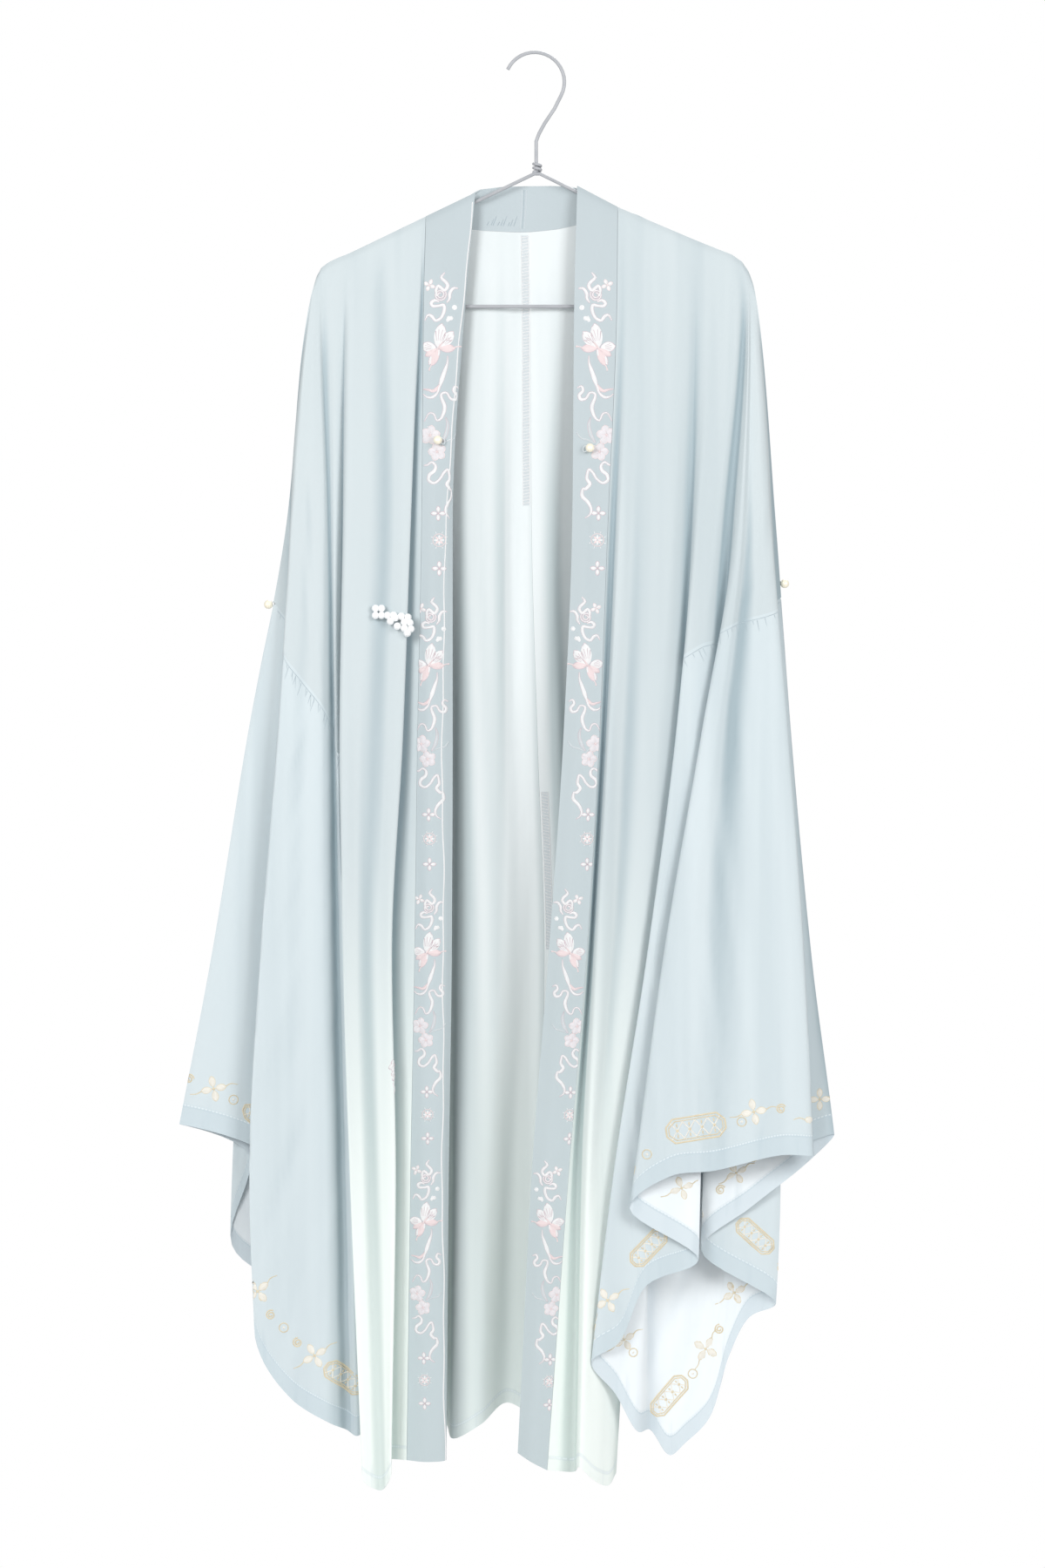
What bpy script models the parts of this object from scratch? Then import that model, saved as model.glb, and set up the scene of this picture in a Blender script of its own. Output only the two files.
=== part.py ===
"""Hanfu robe on a wire hanger: an open-front robe with wide sleeves and an embroidered collar band.

Frame: metres in Blender, +Z up, the robe faces -Y. The origin is where the hook hangs, at the inside top
of its bend. "right" and "left" are the wearer's, so the right side lies at -X.
Each cloth piece is a wall around a sheet. The sheet is worked out from the fold tables below.
"""

from math import cos, radians, sin

import bmesh
import bpy
import numpy as np
from mathutils import Vector
from mathutils.bvhtree import BVHTree

MM = 0.001

# Driving dimensions, in millimetres.
CLOTH_WALL = 1.5
COLLAR_WALL = 2.0
SEAM_GAP = 0.3
WIRE_DIAMETER = 3.6
HOOK_BEND_RADIUS = 30.0
HANGER_APEX = (2.5, -121.0)
HANGER_END_X = 200.0
HANGER_END_RADIUS = 18.0
HANGER_BAR_Z = -255.0
BUTTON_DIAMETER = 9.0
BEAD_DIAMETER = 7.8

# How the cloth opens out below the shoulder edge, over the wire.
OVER_WIRE_DEPTH = 3.9
OVER_WIRE_DROP = 7.0
SHOULDER_RAMP = 100.0
SHOULDER_DROPS = (0.0, 4.0, 9.0, 24.0)

# Sleeve seams: the height at the armpit and at the crown, the fold along the top of the arm.
ARMPIT_Z = {"left": -607.0, "right": -707.0}
CROWN_SEAM_Z = {"left": -549.0, "right": -553.0}
CROWN_EASE = 3.0

# Mesh steps: rows of quads down each stretch, and columns between two neighbouring folds.
UPPER_ROWS = 8
LOWER_ROWS = 10
SLEEVE_ROWS = 11
COLLAR_ROWS = 22
NECK_ROWS = 4
BODY_STEPS = 2
ARM_STEPS = 2
BUTTON_SEGMENTS = 12
BEAD_SEGMENTS = 8

# Fold tables, in millimetres, a row for each fold line. Columns: name, X at the top edge,
# X at each of FOLD_HEIGHTS, Z of the hem there, then the depth Y at each of DEPTH_HEIGHTS.
FOLD_HEIGHTS = (-250, -470, -690, -910, -1130, -1350)
DEPTH_HEIGHTS = (-250, -690, -1350)

FRONT_LEFT = (
    ("band_seam",      84,   83,   74,   65,   52,   34,   18, -1426,  -8, -20, -26),
    ("seam_valley",    87,   88,   80,   70,   57,   43,   40, -1430,  -7, -13, -12),
    ("lead_fold",      95,   97,   87,   75,   63,   53,   47, -1422,  -8, -24, -34),
    ("lead_back",     113,  114,  107,   95,   83,   67,   62, -1437,  -8, -16, -24),
    ("side_fold",     141,  146,  138,  123,  104,   84,   77, -1444,  -8, -16, -12),
    ("side_edge",     161,  163,  158,  149,  127,  100,   87, -1433,  -6,  -1,  -1),
)

SLEEVE_FRONT_LEFT = (
    ("inner_fold",    174,  177,  163,  142,  113,   79,   53, -1317,  -8, -18, -32),
    ("inner_ridge",   187,  189,  171,  151,  118,   90,   83, -1297,  -8, -21, -34),
    ("inner_crest",   199,  204,  183,  160,  126,  111,  113, -1240,  -9, -20, -36),
    ("under_fold",    206,  212,  197,  187,  174,  166,  161, -1214,  -6, -12, -42),
    ("outer_fold",    209,  215,  203,  167,  129,   99,   67, -1161,  -8, -26, -54),
    ("outer_crest",   212,  216,  208,  180,  150,  134,  127, -1129,  -9, -31, -62),
    ("outer_dip",     215,  218,  215,  197,  185,  180,  177, -1124,  -7, -24, -50),
    ("outer_ridge",   217,  220,  228,  236,  241,  246,  248, -1108,  -7, -29, -58),
    ("outer_lip",     218,  222,  237,  255,  270,  280,  291, -1109,  -5, -22, -48),
    ("outer_tuck",    219,  223,  239,  246,  254,  265,  274, -1104,  -3, -11, -34),
    ("crown",         220,  224,  243,  259,  279,  306,  322, -1091,  -1,  -1, -12),
)

SLEEVE_BACK_LEFT = (
    ("crown",         220,  224,  243,  259,  279,  306,  322, -1091,   1,   1, -12),
    ("first_turn",    219,  222,  238,  250,  260,  272,  278, -1121,   3,   3, -22),
    ("first_mid",     216,  218,  231,  236,  225,  218,  218, -1163,   4,   6, -24),
    ("first_fold",    214,  215,  224,  224,  190,  170,  164, -1206,   5,   8, -24),
    ("second_turn",   211,  210,  218,  232,  238,  248,  238, -1261,   6,  14, -12),
    ("lower_a",       207,  206,  214,  224,  220,  218,  217, -1276,   6,  18,   0),
    ("lower_b",       202,  201,  208,  213,  204,  199,  197, -1314,   6,  18,   4),
    ("lower_c",       197,  194,  201,  201,  187,  180,  177, -1379,   6,  17,   6),
    ("lower_d",       190,  187,  192,  186,  164,  155,  153, -1404,   6,  16,   6),
    ("lower_e",       181,  177,  181,  174,  150,  134,  136, -1416,   6,  13,   4),
    ("lower_fold",    174,  169,  169,  164,  139,  114,  116, -1389,   6,   6,  -4),
)

SLEEVE_UNDER_LEFT = (
    ("flap_mid",   164,  164,  165,  151,  124,   95,   81, -1350,  -2, -10, -22),
    ("flap_end",   164,  164,  167,  160,  136,  118,  106, -1389,   0,  -4, -16),
)

FRONT_RIGHT = (
    ("band_seam",  -110, -112, -114, -118, -121, -125, -128, -1418,  -8, -12, -14),
    ("tuck",       -111, -114, -129, -139, -150, -147, -148, -1419,  -6,  -6,  -6),
    ("lead_lip",   -113, -117, -125, -133, -144, -140, -143, -1430,  -9, -24, -34),
    ("lead_mid",   -143, -148, -153, -162, -167, -164, -157, -1446,  -8, -20, -28),
    ("lead_fold",  -181, -187, -191, -195, -192, -185, -176, -1434,  -8, -27, -36),
    ("side_edge",  -190, -193, -194, -192, -164, -153, -151, -1424,  -6,  -3,  -1),
)

SLEEVE_FRONT_RIGHT = (
    ("inner_ridge",  -199, -201, -201, -199, -192, -185, -180, -1394,  -8, -13, -12),
    ("gap",          -209, -214, -207, -203, -199, -194, -190, -1389,  -5,  -6,  -6),
    ("front_ridge",  -212, -218, -213, -215, -214, -209, -208, -1378,  -8, -20, -25),
    ("front_mid",    -215, -223, -228, -237, -243, -247, -246, -1353,  -7, -20, -26),
    ("front_lip",    -217, -225, -244, -258, -275, -286, -278, -1292,  -6, -22, -32),
    ("front_tuck",   -220, -226, -246, -248, -252, -257, -260, -1123,  -3,  -6,  -8),
    ("crown",        -222, -227, -250, -290, -326, -368, -408, -1081,  -1,  -1,  -2),
)

SLEEVE_BACK_RIGHT = (
    ("crown",      -222, -227, -250, -290, -326, -368, -408, -1081,   1,   1,  -2),
    ("back_tuck",  -220, -225, -243, -271, -283, -290, -294, -1112,   3,   8,   8),
    ("back_lip",   -218, -224, -236, -271, -290, -305, -310, -1205,   5,  13,  16),
    ("back_mid",   -213, -217, -222, -237, -241, -245, -246, -1257,   6,  18,  24),
    ("back_in",    -204, -208, -207, -205, -201, -195, -192, -1345,   6,  17,  20),
)

SLEEVE_UNDER_RIGHT = (
    ("under_front",  -200, -200, -200, -200, -185, -176, -173, -1389,  -3,  -5,  -4),
    ("under_back",   -200, -200, -200, -200, -184, -175, -172, -1382,   4,   8,   8),
)

BACK_RIGHT = (
    ("centre",         -5,   -4,   -3,    3,   10,    7,    2, -1383,   8,  24,  30),
    ("valley",        -19,  -19,  -21,  -18,  -14,  -21,  -28, -1368,   9,  30,  38),
    ("ridge_edge",    -35,  -34,  -35,  -37,  -41,  -50,  -54, -1387,   7,  17,  17),
    ("ridge_lip",     -65,  -70,  -74,  -75,  -76,  -78,  -82, -1401,   7,  15,  15),
    ("first_tuck",    -83,  -86,  -91,  -91,  -91,  -91,  -91, -1389,   9,  30,  34),
    ("second_fold",  -102, -107, -112, -114, -117, -117, -117, -1397,   8,  18,  22),
    ("second_tuck",  -123, -128, -133, -134, -136, -133, -131, -1389,   9,  32,  40),
    ("third_fold",   -150, -153, -155, -153, -148, -142, -141, -1399,   8,  18,  22),
    ("side_edge",    -190, -193, -194, -192, -164, -153, -151, -1424,   6,  -1,   1),
)

BACK_LEFT = (
    ("centre",         -5,   -4,   -3,    3,   10,    7,    2, -1383,   8,  24,  30),
    ("first_fold",     23,   23,   18,   24,   31,   24,   16, -1389,   7,  18,  22),
    ("first_tuck",     48,   48,   44,   45,   48,   40,   32, -1380,   9,  32,  40),
    ("second_fold",    72,   74,   69,   67,   67,   58,   50, -1393,   8,  20,  24),
    ("second_tuck",    97,   99,   93,   90,   85,   73,   65, -1384,  10,  33,  40),
    ("third_fold",    121,  126,  120,  114,  102,   83,   76, -1402,   8,  20,  24),
    ("side_edge",     161,  163,  158,  149,  127,  100,   87, -1433,   6,   1,   1),
)

COLLAR_RIGHT = (
    ("middle",   -85,  -92, -100, -105, -106, -109, -109, -1419, -10, -17, -19),
    ("edge",     -62,  -72,  -89,  -93,  -92,  -93,  -91, -1418,  -9, -15, -17),
    ("lip",      -60,  -70,  -83,  -83,  -84,  -87,  -89, -1417,  -7,  -9, -11),
)

COLLAR_LEFT = (
    ("middle",    63,   62,   55,   48,   33,   16,    2, -1418, -10, -24, -30),
    ("edge",      43,   40,   38,   29,   14,   -3,  -14, -1409,  -8, -19, -25),
)

# The shoulder edge (X, Z) from the wearer's right to left, and the back neck seam (X, Z, depth Y).
SHOULDER_LINE = (
    (-222, -236), (-220, -225), (-215, -216), (-206, -209), (-188, -202), (-109, -164), (-61, -141),
    (-26, -130), (0, -128), (42, -133), (84, -155), (164, -189), (199, -203), (209, -210), (216, -220),
    (221, -234),
)
NECK_SEAM = (
    (-104, -164, 3.5), (-90, -172, 6), (-61, -177, 9), (-10, -179, 10), (30, -175, 9), (62, -167, 6),
    (82, -157, 3.5),
)
# The neck band stands up from the neck seam: X and Z along its top edge, and its depth Y there.
NECK_BAND_TOP = (
    (-61, -140, 2.5), (-54, -136, 5), (-34, -133, 9), (-10, -132, 11), (18, -132, 9), (33, -133, 5),
    (42, -135, 2.5),
)

# Buttons: X and Z on the collar bands, and Z on the sleeves' crown folds.
BAND_BUTTONS = {"left": (55.5, -399.5), "right": (-97.5, -391.5)}
SLEEVE_BUTTON_Z = {"left": -535.0, "right": -556.0}

# How far forward of its neighbour a bead may sit and still touch it.
BEAD_STEP = 2.5
# Bead cluster on the right front: X and Z of each bead.
BEADS = (
    (-160, -561), (-154, -561), (-160, -568), (-154, -568), (-148, -568), (-142, -568), (-145, -574),
    (-140, -570.5), (-138, -579), (-134, -569), (-131, -575), (-131, -581), (-127.5, -570), (-125.5, -575.5),
    (-124.5, -581.5), (-128, -586),
)


def steadied(knots, values, at):
    """Values on a smooth curve through the knots that never overshoots them."""
    knots = np.asarray(knots, float)
    values = np.asarray(values, float)
    if knots[0] > knots[-1]:
        knots, values = knots[::-1], values[::-1]
    steps = np.diff(knots)
    slopes = np.diff(values) / steps
    tangents = np.zeros(len(knots))
    same_sign = slopes[:-1] * slopes[1:] > 0
    weight_a = 2 * steps[1:] + steps[:-1]
    weight_b = steps[1:] + 2 * steps[:-1]
    with np.errstate(divide="ignore", invalid="ignore"):
        inner = (weight_a + weight_b) / (weight_a / slopes[:-1] + weight_b / slopes[1:])
    tangents[1:-1] = np.where(same_sign, inner, 0.0)
    tangents[0], tangents[-1] = slopes[0], slopes[-1]
    at = np.asarray(at, float)
    clipped = np.clip(at, knots[0], knots[-1])
    index = np.clip(np.searchsorted(knots, clipped) - 1, 0, len(steps) - 1)
    step = steps[index]
    t = (clipped - knots[index]) / step
    curve = (
        (2 * t**3 - 3 * t**2 + 1) * values[index]
        + (t**3 - 2 * t**2 + t) * step * tangents[index]
        + (-2 * t**3 + 3 * t**2) * values[index + 1]
        + (t**3 - t**2) * step * tangents[index + 1]
    )
    return curve + (at - clipped) * np.where(at > clipped, tangents[-1], tangents[0])


def eased(fraction):
    fraction = np.clip(fraction, 0.0, 1.0)
    return fraction * fraction * (3 - 2 * fraction)


def top_edge(x, is_back):
    """Z and depth of the top edge at this X: the shoulder edge, or the neck seam on the back."""
    depth = (CLOTH_WALL + SEAM_GAP) / 2
    z = np.interp(x, *np.array(SHOULDER_LINE, float).T)
    if is_back and NECK_SEAM[0][0] < x < NECK_SEAM[-1][0]:
        along, seam_z, seam_y = np.array(NECK_SEAM, float).T
        z = np.interp(x, along, seam_z) - SEAM_GAP
        depth = np.interp(x, along, seam_y)
    return z, depth


def fold_line(fold, side, start, end, count, is_back=False):
    """Points down one fold line, from height start to height end, as count + 1 rows of X, Y, Z."""
    top_x, hem_z = fold[1], fold[8]
    top_z, top_depth = top_edge(top_x, is_back)
    end = hem_z if end is None else end
    if start is None:
        drops = top_z - np.array(SHOULDER_DROPS)
        z = np.append(drops[:-1], np.linspace(drops[-1], end, count + 2 - len(drops)))
    else:
        z = np.linspace(start, end, count + 1)
    heights = [top_z] + [height for height in FOLD_HEIGHTS if height < top_z - 5]
    across = [top_x] + list(fold[2:8])[-(len(heights) - 1):]
    x = steadied(heights, across, z)
    depth = np.interp(z, DEPTH_HEIGHTS[::-1], fold[9:12][::-1])
    below = top_z - z
    opening = (CLOTH_WALL + SEAM_GAP) / 2 + OVER_WIRE_DEPTH * eased(below / OVER_WIRE_DROP)
    rest = np.maximum(top_depth, opening)
    blend = eased(below / SHOULDER_RAMP)
    y = side * rest * (1 - blend) + depth * blend
    return np.column_stack([x, y, z])


def between_folds(lines, steps, closed=False):
    """The sheet's columns: a rounded curve through the fold lines, with steps columns to each next one."""
    count = len(lines)
    spans = count if closed else count - 1

    def line(index):
        if closed:
            return lines[index % count]
        if index < 0:
            return 2 * lines[0] - lines[1]
        if index >= count:
            return 2 * lines[-1] - lines[-2]
        return lines[index]

    columns = []
    for index in range(spans):
        before, here, after, beyond = (line(index + offset) for offset in (-1, 0, 1, 2))
        knots = [np.zeros(len(here))]
        for near, far in ((before, here), (here, after), (after, beyond)):
            gap = np.sqrt(np.linalg.norm(far - near, axis=1)) + 1e-6
            knots.append(knots[-1] + gap)
        for step in range(steps):
            at = knots[1] + (knots[2] - knots[1]) * step / steps

            def mix(a, b, low, high):
                share = ((at - low) / (high - low))[:, None]
                return a * (1 - share) + b * share

            first = mix(before, here, knots[0], knots[1])
            second = mix(here, after, knots[1], knots[2])
            third = mix(after, beyond, knots[2], knots[3])
            columns.append(
                mix(
                    mix(first, second, knots[0], knots[2]),
                    mix(second, third, knots[1], knots[3]),
                    knots[1],
                    knots[2],
                )
            )
    if not closed:
        columns.append(lines[-1])
    return columns


class Sheet:
    """Points and quads of one piece of cloth, in millimetres, before it gets its thickness."""

    def __init__(self):
        self.points = []
        self.quads = []
        self.facing_y = set()
        self.facing_level = set()
        self.given = {}

    def add_columns(self, columns, closed=False, above=None):
        """Adds a grid. With above, its first row is the last row of the columns that it continues."""
        index = []
        for number, column in enumerate(columns):
            shared = [] if above is None else [above[number][-1]]
            fresh = column[len(shared):]
            start = len(self.points)
            self.points.extend(fresh)
            index.append(shared + list(range(start, start + len(fresh))))
        pairs = list(zip(index, index[1:]))
        if closed:
            pairs.append((index[-1], index[0]))
        for near, far in pairs:
            for row in range(len(near) - 1):
                self.quads.append((near[row], near[row + 1], far[row + 1], far[row]))
        if not closed:
            self.facing_y.update(index[0])
            self.facing_y.update(index[-1])
        if above is None:
            self.facing_level.update(column[0] for column in index)
        self.facing_level.update(column[-1] for column in index)
        return index

    def normals(self):
        """The direction of thickness at each point: square to the sheet, level at hems and seams."""
        points = np.array(self.points)
        normals = np.zeros_like(points)
        for quad in self.quads:
            a, b, c, d = points[list(quad)]
            square = np.cross(c - a, d - b)
            normals[list(quad)] += square / np.linalg.norm(square)
        level = sorted(self.facing_level)
        normals[level, 2] = 0.0
        seam = sorted(self.facing_y)
        normals[seam, 0] = 0.0
        normals[seam, 2] = 0.0
        for index, across in self.given.items():
            normals[index] = across * np.sign(np.dot(across, normals[index]))
        return points, normals / np.linalg.norm(normals, axis=1)[:, None]

    def wall(self, name, thickness, material):
        """A closed wall of this thickness with the sheet in its middle."""
        points, normals = self.normals()
        count = len(points)
        outer = points + normals * thickness / 2
        inner = points - normals * thickness / 2
        faces = [quad for quad in self.quads]
        faces += [tuple(count + corner for corner in reversed(quad)) for quad in self.quads]
        edges = {(a, b) for quad in self.quads for a, b in zip(quad, quad[1:] + quad[:1])}
        faces += [(b, a, a + count, b + count) for a, b in sorted(edges) if (b, a) not in edges]
        return solid(name, np.vstack([outer, inner]), faces, material)


def solid(name, points, faces, material):
    mesh = bpy.data.meshes.new(name)
    mesh.from_pydata((np.asarray(points) * MM).tolist(), [], faces)
    mesh.validate()
    shape = bmesh.new()
    shape.from_mesh(mesh)
    bmesh.ops.recalc_face_normals(shape, faces=shape.faces)
    bmesh.ops.triangulate(shape, faces=shape.faces)
    shape.to_mesh(mesh)
    shape.free()
    mesh.shade_smooth()
    mesh.materials.append(material)
    item = bpy.data.objects.new(name, mesh)
    bpy.context.scene.collection.objects.link(item)
    return item


def finish(name, colour, roughness, metallic=0.0):
    material = bpy.data.materials.new(name)
    material.use_nodes = True
    shader = material.node_tree.nodes["Principled BSDF"]
    shader.inputs["Base Color"].default_value = (*colour, 1.0)
    shader.inputs["Roughness"].default_value = roughness
    shader.inputs["Metallic"].default_value = metallic
    return material


def seam_heights(folds, arm, is_back):
    """Z of the sleeve seam at each fold of the arm, from the armpit to the crown."""
    share = np.linspace(0, 1, len(folds))
    if is_back:
        x = np.array([(fold[3] + fold[4]) / 2 for fold in folds], float)
        share = np.maximum.accumulate(np.clip((x - x[0]) / (x[-1] - x[0]), 0, 1))
    return ARMPIT_Z[arm] + share * (CROWN_SEAM_Z[arm] - ARMPIT_Z[arm])


def shifted(fold, across):
    """The same fold line, moved along X."""
    return (fold[0],) + tuple(x + across for x in fold[1:8]) + fold[8:]


def upper_columns(body_folds, arm_folds, arm, is_back):
    """The columns of a front or back above its armpit and sleeve seam, and how many are the body's."""
    side = 1 if is_back else -1
    body = [fold_line(fold, side, None, ARMPIT_Z[arm], UPPER_ROWS, is_back) for fold in body_folds]
    seams = seam_heights(arm_folds, arm, is_back)
    sleeve = [
        fold_line(fold, side, None, seam, UPPER_ROWS, is_back) for fold, seam in zip(arm_folds, seams)
    ]
    body_columns = between_folds(body + sleeve[:1], BODY_STEPS)[:-BODY_STEPS]
    arm_columns = between_folds(body[-1:] + sleeve, ARM_STEPS)[1:]
    for column in arm_columns:
        column[:, 2] = np.maximum(column[:, 2], ARMPIT_Z[arm])
    return body_columns[: BODY_STEPS * (len(body) - 1) + 1] + arm_columns


def body_panel(name, body_folds, arm_folds, arm, is_back, material):
    """A front or back: from the centre out to the crown, with the body part running on to its hem.

    Returns the points along its sleeve seam, from the armpit to the crown, and their directions.
    """
    side = 1 if is_back else -1
    sheet = Sheet()
    upper = sheet.add_columns(upper_columns(body_folds, arm_folds, arm, is_back))
    folds = [fold_line(fold, side, ARMPIT_Z[arm], None, LOWER_ROWS, is_back) for fold in body_folds]
    lower = between_folds(folds, BODY_STEPS)
    below = upper[: len(lower)]
    for column, above in zip(lower, below):
        column[0] = sheet.points[above[-1]]
    sheet.facing_level.difference_update(column[-1] for column in below[:-1])
    sheet.add_columns(lower, above=below)
    sheet.wall(name, CLOTH_WALL, material)
    points, normals = sheet.normals()
    seam = [column[-1] for column in upper[len(lower) + ARM_STEPS - 1 :]]
    return list(zip(points[seam], normals[seam]))


def sleeve_tube(name, front_folds, under_folds, back_folds, front_seam, back_seam, arm, material):
    """The wide sleeve below its seam: one closed ring of folds from crown to crown, open at both ends."""
    ring = [(fold, -1) for fold in front_folds[::-1]]
    ring += [(fold, 1) for fold in under_folds + back_folds[:-1]]
    lines = [fold_line(fold, side, ARMPIT_Z[arm] - SEAM_GAP, None, SLEEVE_ROWS) for fold, side in ring]
    seam = [None] * (len(ring) * ARM_STEPS)
    seam[: len(front_seam)] = front_seam[::-1]
    back_start = (len(front_folds) + len(under_folds)) * ARM_STEPS
    seam[back_start:] = back_seam[:-1]
    seam[0] = ((front_seam[-1][0] + back_seam[-1][0]) / 2 - (0, 0, CROWN_EASE), None)
    for index, line in enumerate(lines):
        if seam[index * ARM_STEPS] is None:
            continue
        fold, side = ring[index]
        start = seam[index * ARM_STEPS][0][2] - SEAM_GAP
        lines[index] = fold_line(fold, side, start, None, SLEEVE_ROWS)
    columns = between_folds(lines, ARM_STEPS, closed=True)
    sheet = Sheet()
    for index, (column, sewn) in enumerate(zip(columns, seam)):
        if sewn is None:
            continue
        column[0] = sewn[0] - (0, 0, SEAM_GAP)
        if sewn[1] is not None:
            sheet.given[index * (SLEEVE_ROWS + 1)] = sewn[1]
    sheet.add_columns(columns, closed=True)
    return sheet.wall(name, CLOTH_WALL, material)


def collar_band(name, seam_fold, folds, inward, material):
    """A front length of the collar band, sewn along the front's edge fold."""
    sewn = shifted(seam_fold, inward * SEAM_GAP)
    lines = [fold_line(fold, -1, None, None, COLLAR_ROWS) for fold in (sewn,) + folds]
    sheet = Sheet()
    sheet.add_columns(between_folds(lines, BODY_STEPS))
    return sheet.wall(name, COLLAR_WALL, material)


def neck_band(name, top_row, material):
    """The collar band round the back of the neck, standing on the back's top edge."""
    along, band_z, band_y = np.array(NECK_BAND_TOP, float).T
    seam_ends = NECK_SEAM[0][0], NECK_SEAM[-1][0]
    lines = []
    for bottom in top_row:
        share = (bottom[0] - seam_ends[0]) / (seam_ends[1] - seam_ends[0])
        x = along[0] + share * (along[-1] - along[0])
        top = np.array([x, np.interp(x, along, band_y), np.interp(x, along, band_z)])
        rise = np.linspace(0, 1, NECK_ROWS + 1)[:, None]
        lines.append(top * (1 - rise) + (bottom + (0, 0, SEAM_GAP)) * rise)
    sheet = Sheet()
    sheet.add_columns(lines)
    return sheet.wall(name, CLOTH_WALL, material)


def wire(name, route, material, closed=False):
    """A round wire along the route, with flat ends."""
    curve = bpy.data.curves.new(name, "CURVE")
    curve.dimensions = "3D"
    curve.bevel_depth = WIRE_DIAMETER / 2 * MM
    curve.bevel_resolution = 2
    curve.use_fill_caps = True
    spline = curve.splines.new("POLY")
    spline.points.add(len(route) - 1)
    for point, (x, y, z) in zip(spline.points, route):
        point.co = (x * MM, y * MM, z * MM, 1)
    spline.use_cyclic_u = closed
    curve.materials.append(material)
    item = bpy.data.objects.new(name, curve)
    bpy.context.scene.collection.objects.link(item)
    return item


def arc(centre, radius, start, end, count):
    """Points on an arc in the XZ plane, with angles in degrees from +X towards +Z."""
    return [
        (centre[0] + radius * cos(radians(angle)), 0.0, centre[1] + radius * sin(radians(angle)))
        for angle in np.linspace(start, end, count)
    ]


def hanger(material):
    """The bent wire frame, and the hook that stands on its apex."""
    apex_x, apex_z = HANGER_APEX
    end_z = HANGER_BAR_Z + HANGER_END_RADIUS
    left_end = arc((HANGER_END_X, end_z), HANGER_END_RADIUS, 64, -90, 9)
    right_end = arc((-HANGER_END_X, end_z), HANGER_END_RADIUS, 270, 116, 9)
    shoulder = [(apex_x - 3, 0.0, apex_z), (apex_x + 3, 0.0, apex_z)]
    wire("hanger_frame", shoulder + left_end + right_end, material, closed=True)

    wire_radius = WIRE_DIAMETER / 2
    bend = HOOK_BEND_RADIUS
    bend_z = wire_radius - bend
    stem_x = apex_x - 1
    hook = arc((0, bend_z), bend, 155, -28, 20)
    hook += [
        (20, 0.0, bend_z - 27),
        (10, 0.0, bend_z - 42),
        (4.5, 0.0, bend_z - 52),
        (stem_x, 0.0, bend_z - 60),
        (stem_x, 0.0, apex_z + wire_radius + SEAM_GAP),
    ]
    wire("hanger_hook", hook, material)


def ball(name, centre, diameter, segments, material):
    shape = bmesh.new()
    bmesh.ops.create_uvsphere(
        shape, u_segments=segments, v_segments=segments * 3 // 4, radius=diameter / 2 * MM
    )
    mesh = bpy.data.meshes.new(name)
    shape.to_mesh(mesh)
    shape.free()
    mesh.shade_smooth()
    mesh.materials.append(material)
    item = bpy.data.objects.new(name, mesh)
    item.location = [value * MM for value in centre]
    bpy.context.scene.collection.objects.link(item)
    return item


def surface_of(item):
    bpy.context.view_layer.update()
    return BVHTree.FromObject(item, bpy.context.evaluated_depsgraph_get())


def in_front_of(surface, x, z):
    """The first point of the surface behind X and Z, seen from the front."""
    return surface.ray_cast(Vector((x, -200.0, z)) * MM, Vector((0.0, 1.0, 0.0)))[0]


def push_clear(surface, centre, radius):
    """Moves a ball's centre forwards until the ball is the seam gap clear of the surface."""
    while surface.find_nearest(centre)[3] < (radius + SEAM_GAP - 0.01) * MM:
        centre.y -= 0.2 * MM


def buttons(material):
    """A pearl button on each collar band, and one outside each sleeve seam, at the crown."""
    radius = BUTTON_DIAMETER / 2
    for arm, (x, z) in BAND_BUTTONS.items():
        collar = surface_of(bpy.data.objects[f"collar_{arm}"])
        centre = in_front_of(collar, x, z)
        push_clear(collar, centre, radius)
        ball(f"band_button_{arm}", centre / MM, BUTTON_DIAMETER, BUTTON_SEGMENTS, material)
    crowns = {"left": (SLEEVE_FRONT_LEFT[-1], 1), "right": (SLEEVE_FRONT_RIGHT[-1], -1)}
    for arm, z in SLEEVE_BUTTON_Z.items():
        crown, outward = crowns[arm]
        x = fold_line(crown, -1, z, z, 1)[0][0] + outward * (SEAM_GAP + radius)
        ball(f"sleeve_button_{arm}", (x, 0.0, z), BUTTON_DIAMETER, BUTTON_SEGMENTS, material)


def bead_cluster(material):
    """Sewn-on beads that touch, joined into one body, on the right front beside its leading fold."""
    front = surface_of(bpy.data.objects["front_right"])
    centres = [in_front_of(front, x, z) for x, z in BEADS]
    for _ in BEADS:
        for one in centres:
            push_clear(front, one, BEAD_DIAMETER / 2)
            for other in centres:
                if (one.xz - other.xz).length < BEAD_DIAMETER * MM:
                    other.y = min(other.y, one.y + BEAD_STEP * MM)
    for one in centres:
        push_clear(front, one, BEAD_DIAMETER / 2)
    beads = []
    for number, centre in enumerate(centres):
        name = "bead_cluster" if number == 0 else f"bead_{number}"
        beads.append(ball(name, centre / MM, BEAD_DIAMETER, BEAD_SEGMENTS, material))
    for bead in beads[1:]:
        bead.hide_render = True
        bead.display_type = "WIRE"
        union = beads[0].modifiers.new(f"join_{bead.name}", "BOOLEAN")
        union.operation = "UNION"
        union.object = bead


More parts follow.
